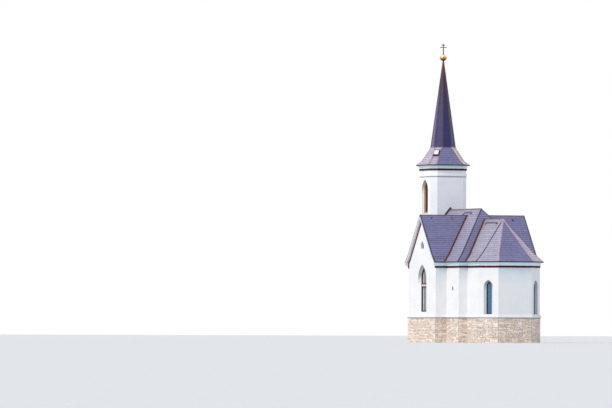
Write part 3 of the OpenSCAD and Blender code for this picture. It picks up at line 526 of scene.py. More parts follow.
# %% [markdown]
# The plinth is rubble laid in rough courses: flat split stones of many lengths, their faces a
# little proud of the mortar. A picture of a wall on the flat solid would show no joints from the
# side, so the stones are separate bevelled plates with jittered outlines, whose joints cast the
# same small shadows as the real ones.

# %% One stone of rubble
JOINT, STONE_FACE, STONE_ROUND = 0.007, 0.016, 0.010
STONE_CUT_W, STONE_CUT_MOST, STONE_CUT_H = 0.25, 0.04, 0.35
STONE_JITTER, STONE_TILT, STONE_BACK = 0.004, 0.004, 0.004
STONE_TINTS = [(1.0, 1.0, 1.0), (1.08, 1.07, 1.05), (0.88, 0.86, 0.84), (1.0, 0.94, 0.88),
               (0.80, 0.77, 0.75), (1.12, 1.12, 1.12), (0.95, 0.91, 0.84), (0.84, 0.79, 0.74)]


def one_stone(parts, corner, along, rise, out, wide, high, tint, rng):
    """A plate with eight jittered corners, a rounded edge and a slightly tilted face."""
    half_w, half_h = wide / 2 - JOINT / 2, high / 2 - JOINT / 2
    centre = corner + along * wide / 2 + rise * high / 2
    cut_w, cut_h = min(STONE_CUT_W * half_w, STONE_CUT_MOST), STONE_CUT_H * half_h
    spots = [(half_w, -half_h + cut_h), (half_w, half_h - cut_h), (half_w - cut_w, half_h),
             (-half_w + cut_w, half_h), (-half_w, half_h - cut_h), (-half_w, -half_h + cut_h),
             (-half_w + cut_w, -half_h), (half_w - cut_w, -half_h)]
    spots = [(a - abs(rng.gauss(0, STONE_JITTER)) * math.copysign(1, a),
              b - abs(rng.gauss(0, STONE_JITTER)) * math.copysign(1, b)) for a, b in spots]
    face = STONE_FACE * rng.uniform(0.6, 1.1)
    tilt_a, tilt_b = [rng.uniform(-STONE_TILT, STONE_TILT) for _ in range(2)]
    rings = []
    for inset, depth in ((0.0, -STONE_BACK), (0.0, face * 0.45), (STONE_ROUND, face)):
        for a, b in spots:
            keep_a, keep_b = 1 - inset / max(half_w, inset * 2), 1 - inset / max(half_h, inset * 2)
            lean = depth + (tilt_a * a / half_w + tilt_b * b / half_h if inset else 0)
            rings.append(centre + along * a * keep_a + rise * b * keep_b + out * lean)
    parts.form(rings, bands(8, 3) + [tuple(range(16, 24))], tint)


print("a stone stands about %.0f mm out of its bed" % (STONE_FACE * 1000))

# %% [markdown]
# A mason sets each course level, as high as the stones at hand, and closes every wall with a
# stone that fits. The same rule draws the heights and lengths here. A grid would look like brick.

# %% Rubble stones of the plinth
STONE_SEED = 11
COURSE_LOW, COURSE_HIGH, STONE_LEAST, STONE_SHORT, STONE_LONG = 0.055, 0.11, 0.12, 2.0, 5.0


def lay_stones(parts, start, stop, height, rng):
    """Stones on an upright face from start to stop, whose outside is on the left."""
    run = stop - start
    length = run.length
    along = run / length
    out = Vector((-along.y, along.x, 0))
    rise = Vector((0, 0, 1))
    z = 0.0
    while z < height - 0.02:
        course = rng.uniform(COURSE_LOW, COURSE_HIGH)
        if height - z - course < COURSE_LOW:
            course = height - z
        s = 0.0
        while s < length - 0.01:
            wide = rng.uniform(STONE_SHORT, STONE_LONG) * course
            if length - s - wide < STONE_LEAST:
                wide = length - s
            tint = STONE_TINTS[rng.randrange(len(STONE_TINTS))]
            shade = rng.uniform(0.9, 1.1)
            tint = tuple(v * shade for v in tint)
            one_stone(parts, start + along * s + rise * z, along, rise, out, wide, course, tint,
                      rng)
            s += wide
        z += course


def plinth_stones(name, side, first, last, seed):
    """The stones of some walls of one side. The right side has the apse's end wall too."""
    rng = random.Random(seed)
    parts = Parts()
    corners = outline_half(PLINTH_OUT)
    for k in range(first, last):
        ends = [at(x, side * y, 0.0) for x, y in (corners[k + 1], corners[k])]
        if side < 0:
            ends.reverse()
        lay_stones(parts, ends[0], ends[1], PLINTH_H, rng)
    if first == 0 and side > 0:
        x, y = corners[0]
        lay_stones(parts, at(x, y, 0.0), at(x, -y, 0.0), PLINTH_H, rng)
    return parts.make(name, rubble, "rubble_stone")


for side, word in ((-1, "left"), (1, "right")):
    plinth_stones("apse_stones_" + word, side, 0, 3, STONE_SEED + side)
    plinth_stones("nave_stones_" + word, side, 3, 9, STONE_SEED + 5 + side)
    plinth_stones("tower_stones_" + word, side, 9, 12, STONE_SEED + 9 + side)

# %% [markdown]
# Slates, louvre blades and planks are cut to the shape that they fill, as on the real building.
# A boolean modifier could do it, but on thousands of slates it is slow and leaves slivers. Two
# flat outlines are simple to cut by each other, edge by edge.

# %% Cut one flat shape by another
def clipped(shape, cutter):
    """The part of a flat shape that lies inside a convex one, both counter-clockwise."""
    for i, (ax, ay) in enumerate(cutter):
        bx, by = cutter[(i + 1) % len(cutter)]
        kept = []
        for j, (px, py) in enumerate(shape):
            qx, qy = shape[(j + 1) % len(shape)]
            p_in = (bx - ax) * (py - ay) - (by - ay) * (px - ax)
            q_in = (bx - ax) * (qy - ay) - (by - ay) * (qx - ax)
            if p_in >= 0:
                kept.append((px, py))
            if (p_in > 0 > q_in) or (p_in < 0 < q_in):
                t = p_in / (p_in - q_in)
                kept.append((px + (qx - px) * t, py + (qy - py) * t))
        shape = kept
        if len(shape) < 3:
            return []
    return shape


def area(shape):
    return sum(shape[i - 1][0] * shape[i][1] - shape[i][0] * shape[i - 1][1]
               for i in range(len(shape))) / 2


print("two squares share", area(clipped([(0, 0), (2, 0), (2, 2), (0, 2)],
                                        [(1, 1), (3, 1), (3, 3), (1, 3)])))

# %% [markdown]
# A slate is a thin wedge: its tail stands proud of the roof, and its head lies under the next
# course, in its shade. A flat plate with a bump would have no lit tails. So that the courses show
# from far away too, the tint falls towards the head as painted shade, and the cut edges are
# painted darker than the face, as painted shade.

# %% One slate
TAIL, HEAD, SLATE_SINK, LEAST_EDGE = 0.011, 0.002, 0.001, 0.0015
HEAD_SHADE, EDGE_SHADE, FALL_POWER = 0.36, 0.25, 1.3


def slate_wedge(parts, shape, v0, step, tail, tint, spot):
    """One slate of the given outline: its face, and the edges that stand clear of the roof."""
    count = len(shape)
    first = len(parts.points)
    lifts = [tail + (HEAD - tail) * (b - v0) / step for a, b in shape]
    parts.points += [spot(a, b, h) for (a, b), h in zip(shape, lifts)]
    parts.points += [spot(a, b, -SLATE_SINK) for a, b in shape]
    parts.faces.append([first + i for i in range(count)])
    for a, b in shape:
        part = min(1.0, (b - v0) / step)
        fall = 1 - (1 - HEAD_SHADE) * part ** FALL_POWER
        parts.tints.append(tuple(t * fall for t in tint))
    for i in range(count):
        j = (i + 1) % count
        if max(lifts[i], lifts[j]) > HEAD + LEAST_EDGE:
            parts.faces.append([first + i, first + count + i, first + count + j, first + j])
            parts.tints += [tuple(t * EDGE_SHADE for t in tint)] * 4


print("a slate is %.0f mm thick at its tail" % (TAIL * 1000))

# %% [markdown]
# The slates are laid in courses from the eaves to the ridge, each course shifted by half a slate.
# Every plane of the roof is a flat shape with straight edges, so each slate is cut to that shape.
# A copied slate would be quicker, but it would hang over the hips and valleys.

# %% Lay slates on one plane of a roof
SLATE_GAP = 0.004
# Slates are painted lighter, as painted light, where a plane faces sideways, to the left where the
# lamp is or to the right: the share of its slope at which that starts, the share at which it is
# full, and the colour factor then
NAVE_PAINTED_LIGHT = (0.30, 0.60, Vector((1.96, 1.93, 1.35)))
APSE_PAINTED_LIGHT = (0.30, 0.60, Vector((2.20, 2.12, 1.42)))
SKIRT_PAINTED_LIGHT = (0.30, 0.60, Vector((2.85, 2.50, 1.58)))
CUT_PAINTED_SHEEN = (0.30, 0.60, Vector((3.15, 2.60, 1.72)))
SPIRE_PAINTED_LIGHT = (0.70, 1.00, Vector((6.75, 4.48, 1.81)))
# How far the shade varies from row to row and from slate to slate, and the cast from red to blue
ROW_SIGMA, SLATE_SIGMA, CAST_SIGMA = 0.035, 0.055, 0.015
RAISED_LOW, RAISED_HIGH, LEAST_AREA = -0.0015, 0.002, 0.0002


def slate_plane(parts, corners, courses, width, rng, painted_light, tail=TAIL):
    """Slates on the plane through corners, which go counter-clockwise seen from outside."""
    normal = (corners[1] - corners[0]).cross(corners[2] - corners[0]).normalized()
    rise = (Vector((0, 0, 1)) - normal * normal.z).normalized()
    along = rise.cross(normal)
    flat = [(p.dot(along), p.dot(rise)) for p in corners]
    low, high = min(v for u, v in flat), max(v for u, v in flat)
    step = (high - low) / courses
    left, last = min(u for u, v in flat), max(u for u, v in flat)
    lift = corners[0].dot(normal)
    level = math.hypot(normal.x, normal.y)
    start, full, sunlit = painted_light
    share = min(1.0, max(0.0, (abs(normal.y) / level - start) / (full - start)))
    painted_light_of_side = Vector((1, 1, 1)).lerp(sunlit, share)
    for row in range(courses):
        v0 = low + row * step
        row_shade = rng.gauss(1.0, ROW_SIGMA)
        u = math.floor(left / width) * width - (width / 2 if row % 2 else 0)
        while u < last:
            shape = clipped([(u, v0), (u + width - SLATE_GAP, v0),
                             (u + width - SLATE_GAP, v0 + step), (u, v0 + step)], flat)
            u += width
            shade, cast = rng.gauss(row_shade, SLATE_SIGMA), rng.gauss(0, CAST_SIGMA)
            raised = rng.uniform(RAISED_LOW, RAISED_HIGH)
            if len(shape) < 3 or area(shape) < LEAST_AREA:
                continue
            tint = (shade * (1 + cast) * painted_light_of_side.x, shade * painted_light_of_side.y,
                    shade * (1 - cast) * painted_light_of_side.z)
            slate_wedge(parts, shape, v0, step, tail + raised, tint,
                        lambda a, b, h: along * a + rise * b + normal * (lift + h))


# Painted light: how much brighter the slates on planes that face sideways are painted at most
print("the most bleached slates are", [round(v, 2) for v in SPIRE_PAINTED_LIGHT[2]], "times as bright")

# %% [markdown]
# Each slope of the roof bends near the eaves, where a flatter foot throws the rain clear of the
# walls. The planes could be read from the solids, but listed by their corners on the plan they
# stay in the order in which a slater takes them: main slopes, feet, ends, transepts, apse.

# %% Planes of the roofs
SLATE_WIDTH = 0.205
NAVE_COURSES, TRANSEPT_COURSES, APSE_COURSES, FOOT_COURSES = 24, 20, 17, 4
NAVE_STEEP = (NAVE_RIDGE - BREAK_H) / (NAVE_HALF + FLARE_OUT)
RIDGE_END_Y = (NAVE_RIDGE - TRANSEPT_RIDGE) / NAVE_STEEP
RIDGE_END_X = -NAVE_HIP + (NAVE_RIDGE - APSE_RIDGE) * (NAVE_HIP + FLARE_OUT) / (
    NAVE_RIDGE - BREAK_H)
NAVE_Y0, NAVE_Y1 = NAVE_HALF + FLARE_OUT, NAVE_HALF + EAVE_OUT
APSE_Y0, APSE_Y1 = APSE_HALF + FLARE_OUT, APSE_HALF + EAVE_OUT
VALLEY_0 = (TRANSEPT_X1 - TRANSEPT_X0) / 2 + FLARE_OUT
VALLEY_1 = (TRANSEPT_X1 - TRANSEPT_X0) / 2 + EAVE_OUT
VERGE_Y = TRANSEPT_HALF + EAVE_OUT
VERGE_X = BACK_X - EAVE_OUT


def apse_corner(number, out):
    """Corner 0 or 1 of the apse on the plan, at a distance out from its walls."""
    c = out * CORNER
    return [(APSE_CUT_X + c, APSE_HALF + out), (APSE_L + out, APSE_END_HALF + c)][number]


def roof_planes():
    """Planes on the right side: (name, corners with heights, number of courses)."""
    x = TRANSEPT_X
    yield "nave", [(VERGE_X, 0, NAVE_RIDGE), (VERGE_X, NAVE_Y0, BREAK_H),
                   (x - VALLEY_0, NAVE_Y0, BREAK_H), (x, RIDGE_END_Y, TRANSEPT_RIDGE),
                   (x, 0, NAVE_RIDGE)], NAVE_COURSES
    yield "nave", [(x, 0, NAVE_RIDGE), (x, RIDGE_END_Y, TRANSEPT_RIDGE),
                   (x + VALLEY_0, NAVE_Y0, BREAK_H), (FLARE_OUT, NAVE_Y0, BREAK_H),
                   (-NAVE_HIP, 0, NAVE_RIDGE)], NAVE_COURSES
    yield "nave", [(VERGE_X, NAVE_Y0, BREAK_H), (VERGE_X, NAVE_Y1, EAVE_H),
                   (x - VALLEY_1, NAVE_Y1, EAVE_H),
                   (x - VALLEY_0, NAVE_Y0, BREAK_H)], FOOT_COURSES
    yield "nave", [(x + VALLEY_0, NAVE_Y0, BREAK_H), (x + VALLEY_1, NAVE_Y1, EAVE_H),
                   (EAVE_OUT, NAVE_Y1, EAVE_H),
                   (FLARE_OUT, NAVE_Y0, BREAK_H)], FOOT_COURSES
    yield "nave_end", [(-NAVE_HIP, 0, NAVE_RIDGE), (FLARE_OUT, NAVE_Y0, BREAK_H),
                       (FLARE_OUT, APSE_Y0, BREAK_H),
                       (RIDGE_END_X, 0, APSE_RIDGE)], NAVE_COURSES
    yield "nave_end", [(FLARE_OUT, NAVE_Y0, BREAK_H), (EAVE_OUT, NAVE_Y1, EAVE_H),
                       (EAVE_OUT, APSE_Y1, EAVE_H),
                       (FLARE_OUT, APSE_Y0, BREAK_H)], FOOT_COURSES
    for way in (-1, 1):
        main = [(x, VERGE_Y, TRANSEPT_RIDGE), (x, RIDGE_END_Y, TRANSEPT_RIDGE),
                (x + way * VALLEY_0, NAVE_Y0, BREAK_H), (x + way * VALLEY_0, VERGE_Y, BREAK_H)]
        foot = [(x + way * VALLEY_0, VERGE_Y, BREAK_H), (x + way * VALLEY_0, NAVE_Y0, BREAK_H),
                (x + way * VALLEY_1, NAVE_Y1, EAVE_H), (x + way * VALLEY_1, VERGE_Y, EAVE_H)]
        yield "transept", main[::way], TRANSEPT_COURSES
        yield "transept", foot[::way], FOOT_COURSES
    peak = (APSE_PEAK, 0, APSE_RIDGE)
    a0, b0 = apse_corner(0, FLARE_OUT), apse_corner(1, FLARE_OUT)
    a1, b1 = apse_corner(0, EAVE_OUT), apse_corner(1, EAVE_OUT)
    yield "apse", [(RIDGE_END_X, 0, APSE_RIDGE), (FLARE_OUT, APSE_Y0, BREAK_H),
                   (*a0, BREAK_H), peak], APSE_COURSES
    yield "apse", [(FLARE_OUT, APSE_Y0, BREAK_H), (EAVE_OUT, APSE_Y1, EAVE_H),
                   (*a1, EAVE_H), (*a0, BREAK_H)], FOOT_COURSES
    yield "apse_cut", [peak, (*a0, BREAK_H), (*b0, BREAK_H)], APSE_COURSES
    yield "apse_cut", [(*a0, BREAK_H), (*a1, EAVE_H), (*b1, EAVE_H),
                       (*b0, BREAK_H)], FOOT_COURSES
    yield "apse", [peak, (*b0, BREAK_H), (b0[0], 0, BREAK_H)], APSE_COURSES
    yield "apse", [(*b0, BREAK_H), (*b1, EAVE_H), (b1[0], 0, EAVE_H),
                   (b0[0], 0, BREAK_H)], FOOT_COURSES


print("planes on one side:", len(list(roof_planes())))

# %% [markdown]
# Each side is slated with its own seed, and its planes are joined into five pieces by part of the
# building. The apse is painted paler than the nave as painted light, and its cut plane on the
# right is the palest, with a painted sheen.

# %% Slates of nave, transepts and apse
SLATE_SEED = 23


def counter_clockwise(corners):
    """The corners in the order that makes the plane face upwards."""
    normal = (corners[1] - corners[0]).cross(corners[2] - corners[0])
    return corners if normal.z > 0 else corners[::-1]


for side, word in ((-1, "left"), (1, "right")):
    rng = random.Random(SLATE_SEED + side)
    roofs = {}
    for name, corners, courses in roof_planes():
        corners = counter_clockwise([at(x, side * y, z) for x, y, z in corners])
        painted_light = APSE_PAINTED_LIGHT if name.startswith("apse") else NAVE_PAINTED_LIGHT
        # The apse's cut plane on the right gets the strongest painted light: a painted sheen of the
        # sky that it mirrors at a grazing angle
        if name == "apse_cut" and side > 0:
            painted_light = CUT_PAINTED_SHEEN
        slate_plane(roofs.setdefault(name, Parts()), corners, courses, SLATE_WIDTH, rng, painted_light)
    for name, parts in roofs.items():
        parts.make("%s_slates_%s" % (name, word), slate, "roof_slate")

# %% [markdown]
# The tower's skirt roof has eight planes, four of them over the cut corners, and bends once. The
# spire above it is steep, and its slates are much smaller. A cone would do from far away, but
# the eight planes catch the light one by one, so each is slated by itself between two rings.

# %% Slates of skirt roof and spire
SPIRE_Z, SPIRE_HALF, SPIRE_TIP, CAP_Z = 14.05, 0.83, 20.58, 19.49
SPIRE_COURSES, SPIRE_SLATE = 50, 0.125
SPIRE_TAIL, SKIRT_COURSES = 0.008, (2, 6, 1)
TOP_Z, CORNER_STEP = SPIRE_Z - 0.18, 0.136
TOP_HALF = SPIRE_HALF * (SPIRE_TIP - TOP_Z) / (SPIRE_TIP - SPIRE_Z)
MID_HALF, MID_CUT, MID_Z = TOWER_HALF + EAVE_OUT - 0.33, 0.38, TOWER_EAVE_H + 0.29
SKIRT_RINGS = [(TOWER_HALF + EAVE_OUT, TOWER_CUT + EAVE_OUT * (2 - math.sqrt(2)), TOWER_EAVE_H),
               (MID_HALF, MID_CUT, MID_Z),
               (TOP_HALF, 2 * TOP_HALF - math.sqrt(2) * (SPIRE_HALF + CORNER_STEP), TOP_Z)]


def spire_ring(z):
    """Half width, cut and height of the spire's plan at a height."""
    half = SPIRE_HALF * (SPIRE_TIP - z) / (SPIRE_TIP - SPIRE_Z)
    return half, half * (2 - math.sqrt(2)), z


def ring_points(half, cut, z):
    """The eight corners of a square with cut corners round the tower's axis."""
    return [at(TOWER_X + x, y, z) for x, y in (
        (half, -half + cut), (half, half - cut), (half - cut, half), (-half + cut, half),
        (-half, half - cut), (-half, -half + cut), (-half + cut, -half), (half - cut, -half))]


def ring_slates(name, rings, courses, width, tail, rng, painted_light, finish):
    """Slates on all eight planes between each ring and the next."""
    parts = Parts()
    for lower, upper, count in zip(rings, rings[1:], courses):
        low, high = ring_points(*lower), ring_points(*upper)
        for i in range(8):
            j = (i + 1) % 8
            slate_plane(parts, [low[i], low[j], high[j], high[i]], count, width, rng, painted_light, tail)
    return parts.make(name, finish, "roof_slate")


rng = random.Random(SLATE_SEED + 7)
skirt_rings = SKIRT_RINGS + [spire_ring(SPIRE_Z)]
ring_slates("skirt_slates", skirt_rings, SKIRT_COURSES, SLATE_WIDTH, TAIL, rng, SKIRT_PAINTED_LIGHT,
            slate)
ring_slates("spire_slates", [spire_ring(SPIRE_Z), spire_ring(CAP_Z)], (SPIRE_COURSES,),
            SPIRE_SLATE, SPIRE_TAIL, rng, SPIRE_PAINTED_LIGHT, spire_slate)

# %% [markdown]
# The edges of the tower's roofs are covered with folded metal strips, which show as thin lines. A
# curve with a thickness would make round ropes of them. Each real strip is a shallow angle that
# lies on both planes beside its edge, so it is drawn as a folded sheet with two upturned rims.

# %% Hip strips of skirt roof and spire
FOLD_TOP, RIM_DROP = 0.54, 0.3
SKIRT_STRIP_LIFT, SPIRE_STRIP_LIFT, SPIRE_STRIP_REACH = 0.018, 0.014, 0.085


def sheet(parts, a, b, sides):
    """A sheet over the line from a to b. Each side is its reach and its lift off the roof."""
    (reach0, lift0), (reach1, lift1) = sides
    spots = []
    for p in (a, b):
        spots += [p + reach0 - lift0 * RIM_DROP, p + reach0 + lift0,
                  p + (lift0 + lift1) * FOLD_TOP, p + reach1 + lift1,
                  p + reach1 - lift1 * RIM_DROP]
    parts.form(spots, [(k, 5 + k, 6 + k, 1 + k) for k in range(4)] + [
        (0, 1, 2, 3, 4), (9, 8, 7, 6, 5)])


def hip_strips(name, finish, rings, reach, lift, chosen):
    """Folded strips over the chosen edges between rings, reach wide on each side."""
    parts = Parts()
    for lower, upper in zip(rings, rings[1:]):
        low, high = ring_points(*lower), ring_points(*upper)
        for i in chosen:
            sides = []
            for j in ((i - 1) % 8, (i + 1) % 8):
                aside = (low[j] - low[i]).normalized()
                normal = aside.cross(high[i] - low[i]).normalized()
                normal *= math.copysign(1, normal.z)
                sides.append((aside * reach, normal * lift))
            sheet(parts, low[i], high[i], sides)
    parts.make(name, finish, "flashing_metal")


# On the skirt the left hips are grey, and the right ones are painted cream, as a painted sheen of
# the bright sky at a grazing angle
hip_strips("skirt_hip_strips_grey", grey_sheet, skirt_rings, 0.055, SKIRT_STRIP_LIFT, (0, 5, 6, 7))
hip_strips("skirt_hip_strips_cream", cream_sheen_sheet, skirt_rings, 0.068, SKIRT_STRIP_LIFT,
           (1, 2, 3, 4))
hip_strips("spire_hip_strips", spire_sheet, [spire_ring(SPIRE_Z - 0.02), spire_ring(CAP_Z)],
           SPIRE_STRIP_REACH, SPIRE_STRIP_LIFT, range(8))

# %% [markdown]
# The other edges of the roofs are lines between two planes that are not in a ring, so what is
# needed there is the normal of each plane beside a line. A plane that falls to one side or along
# the building is given by two lines on it, each a distance and a height.

# %% Normals of the roof's planes
def plane_normal(a, b, c):
    """The upward normal of the plane through three points of the plan."""
    a, b, c = (at(*p) for p in (a, b, c))
    normal = (b - a).cross(c - a).normalized()
    return normal * math.copysign(1, normal.z)


def side_slope(y0, z0, y1, z1, side):
    """The normal of a plane that falls to one side of the building."""
    return plane_normal((0, side * y0, z0), (1, side * y0, z0), (0, side * y1, z1))


def end_slope(x0, z0, x1, z1):
    """The normal of a plane that falls along the building."""
    return plane_normal((x0, 0, z0), (x1, 0, z1), (x1, 1, z1))


END_UP = end_slope(-NAVE_HIP, NAVE_RIDGE, FLARE_OUT, BREAK_H)
END_FOOT = end_slope(FLARE_OUT, BREAK_H, EAVE_OUT, EAVE_H)
print("nave's end leans at", round(math.degrees(math.acos(END_UP.z))), "degrees, its foot at",
      round(math.degrees(math.acos(END_FOOT.z))))

# %% [markdown]
# The valleys are wide open sheets with a rolled edge on each side, where the slates stop. Every
# valley has two parts, one for each pitch, and both are folded by the function for the strips.

# %% Valleys
VALLEY_REACH, VALLEY_LIFT, EDGE_ROLL, ROLL_LIFT = 0.085, 0.022, 0.024, 0.005


def mirrored(points, side):
    return [(x, side * y, z) for x, y, z in points]


def folded(parts, a, b, normals, reach, lift, valley=False):
    """A folded sheet over the line from a to b, between planes with these normals."""
    sides = []
    for normal in normals:
        aside = (b - a).cross(normal).normalized()
        aside *= math.copysign(1, aside.z) * (1 if valley else -1)
        sides.append((aside * reach, normal * lift))
    sheet(parts, a, b, sides)


def valley(sheets, rolls, line, planes):
    """A valley along a line of points, with one pair of planes for each of its parts."""
    line = [at(*p) for p in line]
    for a, b, pair in zip(line, line[1:], planes):
        folded(sheets, a, b, pair, VALLEY_REACH, VALLEY_LIFT, valley=True)
        for normal in pair:
            aside = (b - a).cross(normal).normalized()
            aside *= math.copysign(1, aside.z)
            low = a + aside * VALLEY_REACH + normal * ROLL_LIFT
            rolls.block(low, b - a, aside * EDGE_ROLL, normal * EDGE_ROLL)


def transept_slope(way):
    """A transept's slope: its corners from ridge to eaves, and the normals of its two parts."""
    edge = [(TRANSEPT_X, TRANSEPT_RIDGE), (TRANSEPT_X + way * VALLEY_0, BREAK_H),
            (TRANSEPT_X + way * VALLEY_1, EAVE_H)]
    return edge, [end_slope(*high, *low) for high, low in zip(edge, edge[1:])]


sheets, rolls = Parts(), Parts()
for side in (-1, 1):
    nave_up = side_slope(0, NAVE_RIDGE, NAVE_Y0, BREAK_H, side)
    nave_foot = side_slope(NAVE_Y0, BREAK_H, NAVE_Y1, EAVE_H, side)
    for way in (-1, 1):
        edge, (up, foot) = transept_slope(way)
        line = [(x, side * y, z) for (x, z), y in zip(edge, (RIDGE_END_Y, NAVE_Y0, NAVE_Y1))]
        valley(sheets, rolls, line, [(up, nave_up), (foot, nave_foot)])
    apse_up = side_slope(0, APSE_RIDGE, APSE_Y0, BREAK_H, side)
    apse_foot = side_slope(APSE_Y0, BREAK_H, APSE_Y1, EAVE_H, side)
    line = mirrored([(RIDGE_END_X, 0, APSE_RIDGE), (FLARE_OUT, APSE_Y0, BREAK_H),
                     (EAVE_OUT, APSE_Y1, EAVE_H)], side)
    valley(sheets, rolls, line, [(apse_up, END_UP), (apse_foot, END_FOOT)])
sheets.make("valley_sheets", valley_sheet, "flashing_metal")
# The edge rolls are ochre as a painted highlight, where the sun catches their round tops
rolls.make("valley_edge_rolls", ochre_highlight_sheet, "flashing_metal")

# %% [markdown]
# The apse's ridge and its two front hips have broad covers of sheet, painted a pale mauve: their
# own mauve, made paler as a painted highlight of the sun on them.
# They stand higher than the slates, so they are folded like the strips, with a larger lift.

# %% Covers of the apse
COVER_REACH, COVER_LIFT = 0.064, 0.030
covers = Parts()
ridge_normals = [side_slope(0, APSE_RIDGE, APSE_Y0, BREAK_H, side) for side in (-1, 1)]
for side in (-1, 1):
    a0, b0 = [(*apse_corner(k, FLARE_OUT), BREAK_H) for k in (0, 1)]
    a1, b1 = [(*apse_corner(k, EAVE_OUT), EAVE_H) for k in (0, 1)]
    peak, a0, b0, a1, b1 = mirrored([(APSE_PEAK, 0, APSE_RIDGE), a0, b0, a1, b1], side)
    up_pair = plane_normal(peak, a0, b0), plane_normal(peak, b0, (b0[0], 0, BREAK_H))
    foot_pair = plane_normal(a0, a1, b1), plane_normal(b0, b1, (b1[0], 0, EAVE_H))
    for a, b, pair in ((peak, b0, up_pair), (b0, b1, foot_pair)):
        folded(covers, at(*a), at(*b), pair, COVER_REACH, COVER_LIFT)
folded(covers, at(RIDGE_END_X, 0, APSE_RIDGE), at(*peak), ridge_normals, COVER_REACH, COVER_LIFT)
covers.make("apse_covers", cover_highlight_sheet, "flashing_metal")

# %% [markdown]
# The slates of the transepts end at the gables under a narrow strip, which keeps the wind from
# lifting them. It is flat and hardly seen, so a plain block over each part of the slope will do.

# %% Verge strips
VERGE_W, VERGE_LIFT = 0.085, 0.016
verges = Parts()
for side in (-1, 1):
    for way in (-1, 1):
        edge, normals = transept_slope(way)
        for (x0, z0), (x1, z1), normal in zip(edge, edge[1:], normals):
            a, b = at(x0, side * VERGE_Y, z0), at(x1, side * VERGE_Y, z1)
            verges.block(a, b - a, Vector((0, -side * VERGE_W, 0)), normal * VERGE_LIFT)
verges.make("verge_strips", hip_cover_sheet, "flashing_metal")

# %% [markdown]
# Gutters and drips run along a wall with the same section all the way. A curve with a bevel
# profile would swell at the corners. Here a section is swept along the plan's outline, taken for
# each of its points at that point's own distance from the wall, so that the corners are mitred.

# %% Sweep a section along the walls
def nave_eaves(out):
    """Outline of the eaves at a distance from the walls: round the apse, and behind transepts."""
    half = outline_half(out)
    end_y, end_x = TRANSEPT_HALF + EAVE_OUT, BACK_X - EAVE_OUT
    front = [(TRANSEPT_X1 + out, end_y)] + [half[i] for i in (4, 3, 2, 1, 0)]
    back = [(end_x, NAVE_HALF + out), (TRANSEPT_X0 - out, NAVE_HALF + out),
            (TRANSEPT_X0 - out, end_y)]
    return [front + [(x, -y) for x, y in front[::-1]], back, [(x, -y) for x, y in back[::-1]]]


def tower_path(out):
    """The closed outline of the tower at a distance from its walls."""
    half, cut = TOWER_HALF + out, TOWER_CUT + out * (2 - math.sqrt(2))
    loop = [(p.x - SHIFT, p.y) for p in ring_points(half, cut, 0)]
    return [loop[::-1] + [loop[-1]]]


def sweep(parts, profile, paths_of, level):
    """A closed profile of (distance from the wall, height) swept along paths on the plan."""
    lines = [paths_of(o) for o, _ in profile]
    count = len(profile)
    for k in range(len(lines[0])):
        spots, corners = [], len(lines[0][k])
        for i in range(corners):
            spots += [at(*lines[j][k][i], level + profile[j][1]) for j in range(count)]
        faces = bands(count, corners)
        if (Vector(lines[0][k][0]) - Vector(lines[0][k][-1])).length > 0.01:
            faces += [tuple(range(count))[::-1],
                      tuple(range(count * (corners - 1), count * corners))]
        parts.form(spots, faces)


print("runs of eaves:", len(nave_eaves(0)) + len(tower_path(0)))

# %% [markdown]
# The gutters hang along the eaves: a folded sheet with a round belly and a rolled front edge,
# held by iron straps. A bent round tube would do, but the lip and the straps catch the light. The
# straps are the same section, a millimetre larger, swept over short pieces of the same line.

# %% Gutters
GUTTER_BELLY = [(0.203, 0.000), (0.203, -0.036), (0.208, -0.054), (0.218, -0.064),
                (0.230, -0.064), (0.240, -0.054), (0.2445, -0.036), (0.2445, 0.000)]
GUTTER_LIP = [(0.2490, 0.006), (0.2445, 0.012), (0.2405, 0.006)]
BELLY_MIDDLE, BELLY_FLAT = (GUTTER_BELLY[0][0] + GUTTER_BELLY[-1][0]) / 2, -0.05
GUTTER_WALL, GUTTER_SCALE, GUTTER_DROP = 0.003, 1.15, 0.003
STRAP_STEP, STRAP_W, STRAP_OUT, STRAP_IN = 0.62, 0.024, 0.001, 0.0005


def belly(out, low, lift):
    """The gutter's belly made wider by out, its points raised by lift, or by low at the bottom."""
    return [(o + out * math.copysign(1, o - BELLY_MIDDLE), z + (low if z < BELLY_FLAT else lift))
            for o, z in GUTTER_BELLY]


gutter_profile = GUTTER_BELLY + GUTTER_LIP + belly(-GUTTER_WALL, GUTTER_WALL, 0)[::-1]
strap_profile = belly(STRAP_OUT, -STRAP_OUT, -STRAP_OUT) + belly(
    -STRAP_IN, STRAP_OUT, STRAP_OUT)[::-1]
gutter_profile, strap_profile = [
    [(o, z * GUTTER_SCALE) for o, z in profile] for profile in (gutter_profile, strap_profile)]


def straps(parts, profile, paths_of, level):
    """Short bands round the gutter, spaced evenly along each straight run."""
    for k, line in enumerate(paths_of(profile[0][0])):
        for i in range(len(line) - 1):
            length = (Vector(line[i + 1]) - Vector(line[i])).length
            number = max(1, round(length / STRAP_STEP))
            for n in range(number):
                s0 = (n + 0.5) / number
                s1 = s0 + STRAP_W / length

                def between(o, k=k, i=i, s0=s0, s1=s1):
                    a, b = (Vector(p) for p in paths_of(o)[k][i:i + 2])
                    return [[tuple(a.lerp(b, s0)), tuple(a.lerp(b, s1))]]
                sweep(parts, profile, between, level)


parts = Parts()
for paths_of, height in ((nave_eaves, EAVE_H), (tower_path, TOWER_EAVE_H)):
    sweep(parts, gutter_profile, paths_of, height - GUTTER_DROP)
    straps(parts, strap_profile, paths_of, height - GUTTER_DROP)
gutter_run = parts.make("gutter_runs", gutter_sheet, "gutter_metal")
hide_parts("gutters")

# %% [markdown]
# Dark lines of painted shadow lie on the bed of mortar under the plinth's moulding and under
# the tower's string course. Each is a narrow ledge swept along the wall, like the gutters.

